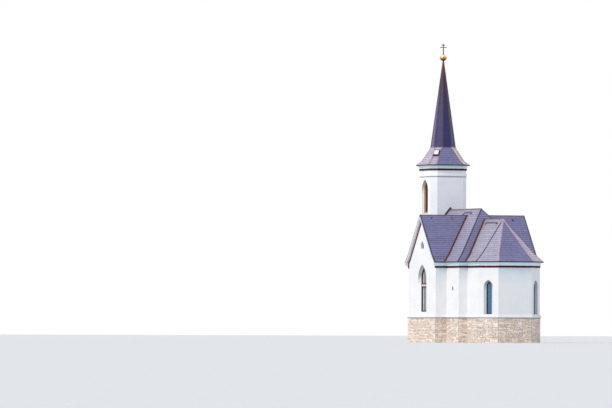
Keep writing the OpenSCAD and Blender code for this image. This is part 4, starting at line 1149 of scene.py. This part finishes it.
# %% Lines of painted shadow
STRING_Z = 11.93
BED_SHADOW_LINE = [(0.02, -0.055), (0.058, -0.055), (0.058, 0.0), (0.02, 0.0)]
STRING_SHADOW_LINE = [(-0.01, -0.05), (0.012, -0.05), (0.017, 0.0), (-0.01, 0.0)]


def plinth_path(out):
    half = outline_half(out)
    return [half[::-1] + [(x, -y) for x, y in half]]


parts = Parts()
sweep(parts, BED_SHADOW_LINE, plinth_path, PLINTH_H)
sweep(parts, STRING_SHADOW_LINE, tower_path, STRING_Z)
parts.make("painted_shadow_lines", shadow_line_stone, "floor_stone")

# %% [markdown]
# A pointed arch is drawn with two arcs whose centres lie on the springing line. The same outline
# serves the belfry, the door and the windows, and an opening is written as its width, its foot
# and its top. Pieces inside an opening are drawn on its wall: along it, up it and out of it.

# %% Pointed arches
ARC_SHARE, ARC_STEPS, HEAD_SHARE = 0.75, 8, 1.4


def lancet(width, foot, top):
    """Outline of a pointed opening, counter-clockwise from the lower left corner."""
    radius = ARC_SHARE * width
    spring = top - math.sqrt(radius * width - width * width / 4)
    last = math.acos((radius - width / 2) / radius)
    arc = [(radius * math.cos(last * i / ARC_STEPS) - radius + width / 2,
            spring + radius * math.sin(last * i / ARC_STEPS)) for i in range(ARC_STEPS + 1)]
    return [(-width / 2, foot), (width / 2, foot)] + arc + [(-a, b) for a, b in arc[-2::-1]]


def inside(width, foot, top, bar):
    """An opening made smaller by a bar all round, which is taller at the point of the arch."""
    return width - 2 * bar, foot + bar, top - HEAD_SHARE * bar


def plate(parts, shape, spot, back, front, tint=(1, 1, 1), edge=0.0):
    """A flat shape as a plate between two depths, its front edge eased."""
    count = len(shape)
    middle = [sum(p[k] for p in shape) / count for k in (0, 1)]

    def eased(a, b):
        reach = max(math.hypot(a - middle[0], b - middle[1]), 1e-6)
        return (a + (middle[0] - a) * edge / reach, b + (middle[1] - b) * edge / reach)
    rings = [[spot(a, b, back) for a, b in shape], [spot(a, b, front - edge) for a, b in shape],
             [spot(*eased(a, b), front) for a, b in shape]]
    parts.form([p for ring in rings for p in ring], bands(count, 3) + [
        tuple(range(2 * count, 3 * count)), tuple(range(count))[::-1]], tint)


def wall_place(origin, outward):
    """Turns (along the wall, height, distance out of it) into a point of the frame."""
    along = Vector((0, 0, 1)).cross(outward)
    return lambda a, b, d: Vector((origin.x, origin.y, 0)) + along * a + Vector(
        (0, 0, b)) + outward * d


def both_walls(x, y):
    """The places of a wall on the left side, at a point of the plan, and of its twin."""
    return [wall_place(at(x, side * y, 0), Vector((0, side, 0))) for side in (-1, 1)]


def arch_ring(parts, opening, bar, spot, back, front):
    """A ring of bars inside an opening, between two depths."""
    outer, hole = lancet(*opening), lancet(*inside(*opening, bar))
    count = len(outer)
    spots = [spot(a, b, d) for d in (back, front) for ring in (outer, hole) for a, b in ring]
    faces = []
    for i in range(count):
        j = (i + 1) % count
        faces += [(2 * count + i, 2 * count + j, 3 * count + j, 3 * count + i),
                  (j, i, count + i, count + j), (i, j, 2 * count + j, 2 * count + i),
                  (count + j, count + i, 3 * count + i, 3 * count + j)]
    parts.form(spots, faces)


TOWER_FACES = both_walls(TOWER_X, TOWER_HALF) + [
    wall_place(at(TOWER_X - TOWER_HALF, 0, 0), Vector((-1, 0, 0)))]
print("an arch has", len(lancet(1.0, 0.0, 2.0)), "points")

# %% [markdown]
# The belfry is closed by sloping blades that shed the rain and let the bells sound. One board with
# painted lines would look the same from the field but not from below. The blades overlap, so the
# opening looks almost solid brown, crossed by thin dark lines.

# %% Belfry louvres
LOUVRE, LOUVRE_BAR, LOUVRE_FRONT, LOUVRE_D = (0.80, 9.375, 11.567), 0.045, -0.22, 0.08
BLADE_STEP, BLADE_T, BLADE_EDGE, LEAST_BLADE = 0.125, 0.018, 0.003, 0.002
BLADE_TILT = math.radians(50)
BLADE_RISE = LOUVRE_D * math.tan(BLADE_TILT)
BLADE_SEED = 5


def band(low_a, high_a, low_b, high_b, shape):
    """The part of an upright rectangle that lies inside an outline."""
    return clipped([(low_a, low_b), (high_a, low_b), (high_a, high_b), (low_a, high_b)], shape)


def blade(parts, shape, z, spot, tint):
    """One sloping blade across the opening, its outer edge low, cut to the arch."""
    low = z - BLADE_RISE / 2
    part = band(-1, 1, low, low + BLADE_RISE, shape)
    if len(part) < 3 or area(part) < LEAST_BLADE:
        return

    def leaning(a, b, d):
        return spot(a, b, LOUVRE_FRONT - LOUVRE_D * (b - low) / BLADE_RISE + d)
    plate(parts, part, leaning, -BLADE_T, 0.0, tint, BLADE_EDGE)


rng = random.Random(BLADE_SEED)
parts = Parts()
louvre_sill, louvre_top = LOUVRE[1:]
for spot in TOWER_FACES:
    arch_ring(parts, LOUVRE, LOUVRE_BAR, spot, LOUVRE_FRONT - LOUVRE_D, LOUVRE_FRONT)
    shape = lancet(*inside(*LOUVRE, LOUVRE_BAR))
    for n in range(1, int((louvre_top - louvre_sill) / BLADE_STEP)):
        shade = rng.uniform(0.85, 1.12)
        blade(parts, shape, louvre_sill + n * BLADE_STEP, spot, (shade, shade, shade))
louvres = parts.make("belfry_blades", stained_board, "brown_wood")
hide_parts("belfry_louvres")

# %% [markdown]
# An oak frame holds the louvres, paler than they are, and the opening splays out before it. Its
# sill is a thin slab of tan stone that slopes to the outside, so that the rain runs off.

# %% Belfry frames and sills
BELFRY, OAK, OAK_BAR, OAK_FRONT = (1.16, 9.27, 11.72), (0.92, 9.34, 11.62), 0.055, -0.14
SILL_T = 0.012
frames, sills = Parts(), Parts()
for spot in TOWER_FACES:
    arch_ring(frames, OAK, OAK_BAR, spot, LOUVRE_FRONT, OAK_FRONT)
    outline = [(way * width / 2, foot, depth)
               for (width, foot, _), depth, ways in ((BELFRY, 0.0, (-1, 1)),
                                                     (LOUVRE, LOUVRE_FRONT, (1, -1)))
               for way in ways]
    sills.form([spot(a, b + t, d) for t in (0.0, SILL_T) for a, b, d in outline], BOX_FACES)
frames.make("belfry_frames", light_oak, "brown_wood")
sills.make("belfry_sills", sill_stone, "floor_stone")

# %% [markdown]
# The doorway is on the side that the photograph doesn't show. It is closed by a plain board door:
# upright planks in a pointed arch, a plate each, so that the joints between them are real.

# %% Board door
DOOR, DOOR_FACE = (1.0, 0.16, 2.56), -0.20
PLANKS, PLANK_GAP, PLANK_T, PLANK_EDGE = 7, 0.006, 0.055, 0.004
DOOR_BACK_LOW, DOOR_BACK_HIGH = 0.06, 0.03
door_spot = TOWER_FACES[2]
shape = lancet(*DOOR)
parts = Parts()
plank = DOOR[0] / PLANKS
for n in range(PLANKS):
    a = n * plank - DOOR[0] / 2
    part = band(a + PLANK_GAP / 2, a + plank - PLANK_GAP / 2, 0, 3, shape)
    shade = rng.uniform(0.85, 1.1)
    plate(parts, part, door_spot, DOOR_FACE - PLANK_T, DOOR_FACE, (shade, shade, shade),
          PLANK_EDGE)
plate(parts, shape, door_spot, DOOR_FACE - DOOR_BACK_LOW, DOOR_FACE - DOOR_BACK_HIGH)
door_boards = parts.make("door_boards", stained_board, "brown_wood")
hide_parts("door")

# %% [markdown]
# Two long strap hinges with clenched nails carry the door, and a ring on a round rose pulls it.
# Forged iron has no sharp edge, so each plate of it is eased by a few millimetres.

# %% Door ironwork
HINGE_HEIGHTS, HINGE_A, HINGE_L, HINGE_W, HINGE_T = (0.55, 1.75), -0.49, 0.82, 0.055, 0.007
TAPER_SHARE, HINGE_SINK, HINGE_EDGE = 0.9, 0.001, 0.002
NAILS, NAIL_A, NAIL_STEP, NAIL_R, NAIL_T, NAIL_EDGE = 6, -0.45, 0.13, 0.011, 0.012, 0.004
RING_R, RING_T, RING_A, RING_Z = 0.055, 0.008, 0.34, 1.15
RING_STEPS, RING_SECTION, RING_OUT = 24, 8, 0.017
ROSE_R, ROSE_T, ROSE_EDGE = 0.035, 0.008, 0.003


def disc(a, b, radius, count):
    """Outline of a round plate on the door."""
    return [(a + radius * math.cos(2 * math.pi * t / count),
             b + radius * math.sin(2 * math.pi * t / count)) for t in range(count)]


parts = Parts()
for z in HINGE_HEIGHTS:
    taper = HINGE_A + HINGE_L * TAPER_SHARE
    plate(parts, [(HINGE_A, z - HINGE_W / 2), (taper, z - HINGE_W / 3), (HINGE_A + HINGE_L, z),
                  (taper, z + HINGE_W / 3), (HINGE_A, z + HINGE_W / 2)],
          door_spot, DOOR_FACE - HINGE_SINK, DOOR_FACE + HINGE_T, edge=HINGE_EDGE)
    for n in range(NAILS):
        plate(parts, disc(NAIL_A + n * NAIL_STEP, z, NAIL_R, 6), door_spot, DOOR_FACE,
              DOOR_FACE + NAIL_T, edge=NAIL_EDGE)
plate(parts, disc(RING_A, RING_Z, ROSE_R, 12), door_spot, DOOR_FACE, DOOR_FACE + ROSE_T,
      edge=ROSE_EDGE)
spots = []
for i in range(RING_STEPS):
    for j in range(RING_SECTION):
        u = 2 * math.pi * j / RING_SECTION
        reach = RING_R + RING_T * math.cos(u)
        a, b = disc(RING_A, RING_Z - RING_R, reach, RING_STEPS)[i]
        spots.append(door_spot(a, b, DOOR_FACE + RING_OUT + RING_T * math.sin(u)))
# The last section of the ring meets the first
parts.form(spots, [tuple(i % len(spots) for i in face)
                   for face in bands(RING_SECTION, RING_STEPS + 1)])
parts.make("door_ironwork", iron, "cross_iron")

# %% [markdown]
# Thin beads of painted putty hold the panes in their frames. A bead follows the outline of each
# opening, so it is a narrow ring between two pointed arches, and not a tube.

# %% Window beads
REVEAL, GLASS_BACK, BEAD = 0.16, 0.08, 0.014
TRANSEPT_LIGHT, TRANSEPT_BAR = (1.08, 2.19, 5.302), 0.060
APSE_LIGHT, APSE_BAR = (0.40, 2.02, 4.2925), 0.042
gable_spots = both_walls(TRANSEPT_X, TRANSEPT_HALF)
cut_spots = [wall_place(at((APSE_CUT_X + APSE_L) / 2, side * (APSE_HALF + APSE_END_HALF) / 2, 0),
                        Vector((1, side, 0)).normalized()) for side in (-1, 1)]
parts = Parts()
for spots_of, light, bar in ((gable_spots, TRANSEPT_LIGHT, TRANSEPT_BAR),
                             (cut_spots, APSE_LIGHT, APSE_BAR)):
    for spot in spots_of:
        arch_ring(parts, inside(*light, bar), BEAD, spot, -REVEAL - GLASS_BACK,
                  -REVEAL - GLASS_BACK + BEAD)
parts.make("window_beads", bead_paint, "frame_wood")

# %% [markdown]
# The large windows are divided by a thin mullion and two transoms with a painted panel between
# them. The imported frame has these as plain bars. Here each has its own paint and an eased edge,
# the mullion's a paler maroon as painted light, and the bars are cut to the arch, so that no end
# stands out of the frame.

# %% Transept windows
TRANSOMS, TRANSOM_H, MULLION, FRAME_BACK, BAR_BACK = (3.93, 4.135), 0.06, 0.05, 0.10, 0.09
PANEL_BACK, BAR_EDGE, PANEL_EDGE = 0.06, 0.004, 0.002
TRANSOM_OUT, MULLION_IN, PANEL_IN = 0.004, 0.012, 0.008
frames, bars, panels = Parts(), Parts(), Parts()
outline = lancet(*TRANSEPT_LIGHT)
for spot in gable_spots:
    arch_ring(frames, TRANSEPT_LIGHT, TRANSEPT_BAR, spot, -REVEAL - FRAME_BACK, -REVEAL)
    for z in TRANSOMS:
        plate(frames, band(-1, 1, z, z + TRANSOM_H, outline), spot, -REVEAL - BAR_BACK,
              -REVEAL + TRANSOM_OUT, edge=BAR_EDGE)
    plate(bars, band(-MULLION / 2, MULLION / 2, 0, 9, outline), spot, -REVEAL - BAR_BACK,
          -REVEAL - MULLION_IN, edge=BAR_EDGE)
    plate(panels, band(-1, 1, TRANSOMS[0] + TRANSOM_H, TRANSOMS[1], outline), spot,
          -REVEAL - PANEL_BACK, -REVEAL - PANEL_IN, edge=PANEL_EDGE)
made = frames.make("transept_window_frames", maroon_paint, "frame_wood")
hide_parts("transept_frames")
bars.make("transept_window_mullions", lit_mullion_paint, "frame_wood")
panels.make("transept_window_panels", rose_paint, "frame_wood")

# %% [markdown]
# The splayed sides of the openings lie in shade, which is painted on them green and grey towards
# the arch. The wall's own finish can't tell them from the wall, so each opening gets a coat three
# millimetres thick, with one tint of painted shade in its head that fades to another.

# %% Coats of the reveals
SKIN, FADE_HIGH, FADE_LOW = 0.003, 0.40, 0.25
# Tints of painted shade for the heads, for the jambs of the apse windows and deep in the side vents
WHITE, ARCH_SHADE, MINT_SHADE = (1.0, 1.0, 1.0), (0.36, 0.43, 0.38), (0.72, 0.83, 0.79)
BLUE_SHADE, DARK_SHADE, CREAM = (0.46, 0.52, 0.60), (0.20, 0.20, 0.21), (1.0, 0.95, 0.88)
TRANSEPT_OPENING, APSE_OPENING = (1.64, 2.00, 5.54), (0.70, 2.00, 4.42)
SIDE_VENT, SIDE_VENT_D = (0.18, 3.70, 4.00), 0.19
vent_spots = both_walls(TRANSEPT_X1 / 2, NAVE_HALF)
SPLAYS = [  # opening in front and behind, depth, places, tint of the head and of the jambs
    (TRANSEPT_OPENING, TRANSEPT_LIGHT, REVEAL, gable_spots, ARCH_SHADE, WHITE),
    (APSE_OPENING, APSE_LIGHT, REVEAL, cut_spots[:1], ARCH_SHADE, MINT_SHADE),
    (APSE_OPENING, APSE_LIGHT, REVEAL, cut_spots[1:], ARCH_SHADE, BLUE_SHADE),
    (SIDE_VENT, SIDE_VENT, SIDE_VENT_D, vent_spots, DARK_SHADE, DARK_SHADE),
    (BELFRY, LOUVRE, -LOUVRE_FRONT, TOWER_FACES, ARCH_SHADE, CREAM)]


def skin_paths(outer, inner, depth):
    """Outlines of a coat, from the wall round its face to the frame, open at the sill."""
    rings = [(lancet(*outer), 0.0)]
    for (width, foot, top), d in ((outer, 0.0), (inner, -depth)):
        rings.append((lancet(width - 2 * SKIN, foot, top - HEAD_SHARE * SKIN), d))
    rings.append((lancet(*inner), -depth))
    spring = rings[0][0][2][1]
    paths = []
    for ring, d in rings:
        left, right = ring[:2]
        end_of_fade = max(spring - FADE_LOW, left[1])
        paths.append(([right, (right[0], end_of_fade)] + ring[2:] + [
            (left[0], end_of_fade), left], d))
    return paths, spring


def reveal_coat(parts, outer, inner, depth, spot, head, jamb):
    """A thin coat of painted shade on the splayed sides of an opening, in one tint above and one on
    its jambs.
    """
    paths, spring = skin_paths(outer, inner, depth)
    front = paths[0][0]
    for k in range(len(front) - 1):
        tints = []
        for n in (k, k + 1):
            share = (front[n][1] - spring + FADE_LOW) / (FADE_HIGH + FADE_LOW)
            share = min(1.0, max(0.0, share))
            tints.append(tuple(j + (h - j) * share for h, j in zip(head, jamb)))
        first = len(parts.points)
        parts.points += [spot(*path[n], d) for path, d in paths for n in (k, k + 1)]
        for face in ((0, 1, 3, 2), (2, 3, 5, 4), (4, 5, 7, 6)):
            parts.faces.append([first + i for i in face])
            parts.tints.extend(tints[i % 2] for i in face)


parts = Parts()
for outer, inner, depth, spots_of, head, jamb in SPLAYS:
    for spot in spots_of:
        reveal_coat(parts, outer, inner, depth, spot, head, jamb)
parts.make("reveal_shade_coats", reveal_painted_shade, "plaster")

# %% [markdown]
# The small niches in the gables and the vents of the nave end in dark iron grilles: a back plate,
# a ring in the shape of the arch, and flat slats across it. Their dark iron is painted shade deep
# in the openings, and they are seen only as small shadows.

# %% Vent grilles
NICHE, GRILLE_BACK, GRILLE_RING = (0.56, 6.68, 7.22), 0.20, 0.02
SLAT_STEP, SLAT_H = 0.06, 0.012
PLATE_OUT, SLAT_OUT, RING_FACE = 0.01, 0.022, 0.03
parts = Parts()
for spots_of, opening in ((gable_spots, NICHE), (vent_spots, SIDE_VENT)):
    shape = lancet(*opening)
    _, foot, top = opening
    for spot in spots_of:
        plate(parts, shape, spot, -GRILLE_BACK, -GRILLE_BACK + PLATE_OUT)
        arch_ring(parts, opening, GRILLE_RING, spot, -GRILLE_BACK + PLATE_OUT,
                  -GRILLE_BACK + RING_FACE)
        for n in range(1, int((top - foot) / SLAT_STEP)):
            z = foot + n * SLAT_STEP
            plate(parts, band(-1, 1, z - SLAT_H / 2, z + SLAT_H / 2, shape), spot,
                  -GRILLE_BACK + PLATE_OUT, -GRILLE_BACK + SLAT_OUT)
parts.make("vent_grilles_painted_shade", iron, "cross_iron")

# %% [markdown]
# Where the nave's roof runs against the tower, a dark sheet is turned up on the tower's wall and
# let into the plaster, so that no rain gets between. A painted line would end at the wall's
# corners, so the sheet is a thin band that climbs with the roof and turns round the cut corners.

# %% Flashing against the tower
APRON_H, APRON_T, APRON_SINK, WALL_T = 0.22, 0.008, 0.03, 0.45
FACE_X, CUT_Y = BACK_X + WALL_T, TOWER_HALF - TOWER_CUT


def on_nave(x, y):
    return at(x, y, NAVE_RIDGE - abs(y) * NAVE_STEEP)


parts = Parts()
for side in (-1, 1):
    line = [(FACE_X + APRON_T, 0), (FACE_X + APRON_T, side * (CUT_Y + APRON_T / 2)),
            (FACE_X - TOWER_CUT + APRON_T, side * (TOWER_HALF + APRON_T)),
            (BACK_X - EAVE_OUT, side * (TOWER_HALF + APRON_T))]
    line = [on_nave(x, y) for x, y in line]
    for a, b in zip(line, line[1:]):
        rise = Vector((0, 0, APRON_H))
        inward = Vector((b - a).cross(rise)).normalized() * APRON_T * side
        low = Vector((0, 0, -APRON_SINK))
        parts.form([a + low, b + low, b + rise, a + rise, a + low + inward, b + low + inward,
                    b + rise + inward, a + rise + inward],
                   [(0, 1, 2, 3), (7, 6, 5, 4), (3, 2, 6, 7), (0, 3, 7, 4), (1, 5, 6, 2)])
parts.make("tower_apron", spire_sheet, "flashing_metal")

# %% [markdown]
# Small hooded vents let the air out from under the slates. They are dark folded sheets, each a
# low half cone that opens down the slope, and stand a little under the ridges. A cone primitive
# would sink into the roof, so the hood is drawn from two half rings on the plane itself.

# %% Roof vents
VENT_L, VENT_W, VENT_H, VENT_TIP, VENT_STEPS = 0.20, 0.17, 0.07, 0.25, 6


def roof_vent(parts, x, y, z, down, scale=1.0):
    """A hood at a point of a roof plane. down is the plane's direction towards the eaves."""
    place = at(x, y, z)
    across = down.cross(Vector((0, 0, 1))).normalized()
    normal = across.cross(down).normalized()
    spots = []
    for reach, size in ((0.0, VENT_TIP * scale), (VENT_L * scale, scale)):
        for i in range(VENT_STEPS + 1):
            t = math.pi * i / VENT_STEPS
            spots.append(place + down * reach + across * (VENT_W / 2 * size * math.cos(t)) +
                         normal * (VENT_H * size * math.sin(t)))
    count = VENT_STEPS + 1
    faces = [(i, i + 1, count + 1 + i, count + i) for i in range(VENT_STEPS)]
    parts.form(spots, faces + [tuple(range(count))[::-1], tuple(range(count, 2 * count))])


def slope_down(dx, dy, steep):
    """The direction down a plane that falls towards (dx, dy), steep metres a metre."""
    return Vector((dx, dy, -steep)).normalized()


TRANSEPT_STEEP = (TRANSEPT_RIDGE - BREAK_H) / VALLEY_0
APSE_STEEP = (APSE_RIDGE - BREAK_H) / APSE_Y0
parts = Parts()
for side in (-1, 1):
    for x, y, ridge, steep in (
            (-5.73, 0.23, NAVE_RIDGE, NAVE_STEEP), (-4.39, 0.18, NAVE_RIDGE, NAVE_STEEP),
            (-1.71, 0.18, APSE_RIDGE, APSE_STEEP), (0.36, 0.18, APSE_RIDGE, APSE_STEEP)):
        roof_vent(parts, x, side * y, ridge - y * steep, slope_down(0, side, steep))
for way in (-1, 1):
    for y, run, scale in ((-3.20, 0.12, 0.65), (-1.64, 0.12, 0.65), (3.01, 0.18, 0.9)):
        roof_vent(parts, TRANSEPT_X + way * run, y, TRANSEPT_RIDGE - run * TRANSEPT_STEEP,
                  slope_down(way, 0, TRANSEPT_STEEP), scale)
parts.make("roof_vents", iron, "flashing_metal")

# %% [markdown]
# A thin iron rail runs below the ridges of nave and apse, from vent to vent, for the slater's
# ladder. It is one square bar a little above the slates.

# %% Ladder rails
RAIL, RAIL_LIFT, RAIL_DOWN = 0.028, 0.05, 0.05


def rail(parts, start, stop, y, side, ridge, steep):
    """A thin rail over the slates, level along a roof, y below its ridge on the plan."""
    down = slope_down(0, side, steep)
    normal = Vector((0, -down.z * side, down.y * side))
    first = at(start, side * y, ridge - y * steep) + down * RAIL_DOWN + normal * RAIL_LIFT
    parts.block(first, Vector((stop - start, 0, 0)), down * RAIL, normal * RAIL)


parts = Parts()
for side in (-1, 1):
    rail(parts, -5.73, -4.39, 0.20, side, NAVE_RIDGE, NAVE_STEEP)
    rail(parts, -1.71, 0.36, 0.18, side, APSE_RIDGE, APSE_STEEP)
parts.make("roof_rails", iron, "flashing_metal")

# %% [markdown]
# Iron hooks in two rows keep the snow on the feet of the transepts' roofs. They are too small to
# show their bend, so each is a short block that stands on the plane, and the rows are staggered.

# %% Snow hooks
HOOK_STEP, HOOK_W, HOOK_L, HOOK_H, HOOKS = 0.22, 0.035, 0.05, 0.04, 4
HOOK_ROWS, HOOK_EDGE, HOOK_LIFT = ((5.94, 0.0), (6.09, HOOK_STEP / 2)), 0.12, 0.01
parts = Parts()
for side in (-1, 1):
    for way in (-1, 1):
        down = slope_down(way * FLARE_RUN, 0, FLARE_RISE)
        normal = Vector((-down.z * way, 0, down.x * way))
        for z, stagger in HOOK_ROWS:
            x = TRANSEPT_X + way * (VALLEY_1 - (z - EAVE_H) * FLARE_RUN / FLARE_RISE)
            for n in range(HOOKS):
                y = VERGE_Y - HOOK_EDGE - n * HOOK_STEP - stagger
                parts.block(at(x, side * y, z) + normal * HOOK_LIFT, down * HOOK_L,
                            Vector((0, side * HOOK_W, 0)), normal * HOOK_H)
parts.make("snow_hooks", iron, "flashing_metal")

# %% [markdown]
# A small hatch opens on the skirt's corner face. Its curb is painted dark, as painted shade on its
# sides, and its white lid is a folded sheet that stands out over the curb and casts a shadow on
# it. Both are drawn on the face itself: across it, down it and above it, so that they follow if
# the face gets another pitch.

# %% Roof hatch
CURB_H, CURB_SINK, CURB_EDGE, LID_T, LID_EDGE, BELOW_TOP = 0.11, 0.02, 0.002, 0.02, 0.006, 0.11
CURB_BOX, LID_BOX = (0.22, -0.02, 0.48), (0.18, 0.03, 0.40)
HEAD_RUN = SPIRE_HALF + CORNER_STEP
FOOT_RUN = (2 * MID_HALF - MID_CUT) / math.sqrt(2)
corner_out = Vector((1, -1, 0)).normalized()
hatch_down = (corner_out * (FOOT_RUN - HEAD_RUN) + Vector((0, 0, MID_Z - TOP_Z))).normalized()
hatch_across = Vector((1, 1, 0)).normalized()
hatch_up = hatch_down.cross(hatch_across)
hatch_up *= math.copysign(1, hatch_up.z)
hatch_head = at(TOWER_X, 0, TOP_Z) + corner_out * HEAD_RUN


def hatch_spot(a, b, h):
    """A point a across, b down the face and h over it."""
    return hatch_head + hatch_across * a + hatch_down * (BELOW_TOP + b) + hatch_up * h


def hatch_box(parts, half_w, start, stop, low, high, ease):
    """A box on the face with eased upper edges."""
    rings = [(half_w, start, stop, low), (half_w, start, stop, high - ease),
             (half_w - ease, start + ease, stop - ease, high)]
    spots = [hatch_spot(a, b, h) for w, b0, b1, h in rings
             for a, b in ((-w, b0), (-w, b1), (w, b1), (w, b0))]
    parts.form(spots, bands(4, 3) + [(3, 2, 1, 0), (8, 9, 10, 11)])


parts = Parts()
# The curb's dark paint is painted shade for its sides
hatch_box(parts, *CURB_BOX, -CURB_SINK, CURB_H, CURB_EDGE)
curb = parts.make("hatch_curb", maroon_paint, "hatch_metal")
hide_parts("roof_hatch")
parts = Parts()
hatch_box(parts, *LID_BOX, CURB_H, CURB_H + LID_T, LID_EDGE)
parts.make("hatch_lid", white_sheet, "hatch_metal")

# %% [markdown]
# The ball on the spire is beaten from two sheets, so it has a fine raised seam round its middle,
# which a sphere primitive lacks. A profile is turned round the upright axis and shaded smooth.

# %% Gilt ball
SEAM_R, SEAM_H, TURNS, BALL_STEPS, POLE_SHARE = 0.252, 0.010, 48, 12, 0.97


def turned(profile, turns):
    """Points of a profile of (radius, height) turned round the tower's axis."""
    return [at(TOWER_X + r * math.cos(2 * math.pi * i / turns),
               r * math.sin(2 * math.pi * i / turns), z) for r, z in profile
            for i in range(turns)]


profile = []
for k in range(-BALL_STEPS, BALL_STEPS + 1):
    t = math.pi / 2 * POLE_SHARE * k / BALL_STEPS
    if k == 0:
        profile += [(BALL_R, BALL_Z - SEAM_H), (SEAM_R, BALL_Z), (BALL_R, BALL_Z + SEAM_H)]
    else:
        profile.append((BALL_R * math.cos(t), BALL_Z + BALL_R * math.sin(t)))
gilt_ball = piece("gilt_ball", turned(profile, TURNS), bands(TURNS, len(profile)), gilding,
                  "gilt_metal", smooth=True)
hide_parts("ball")
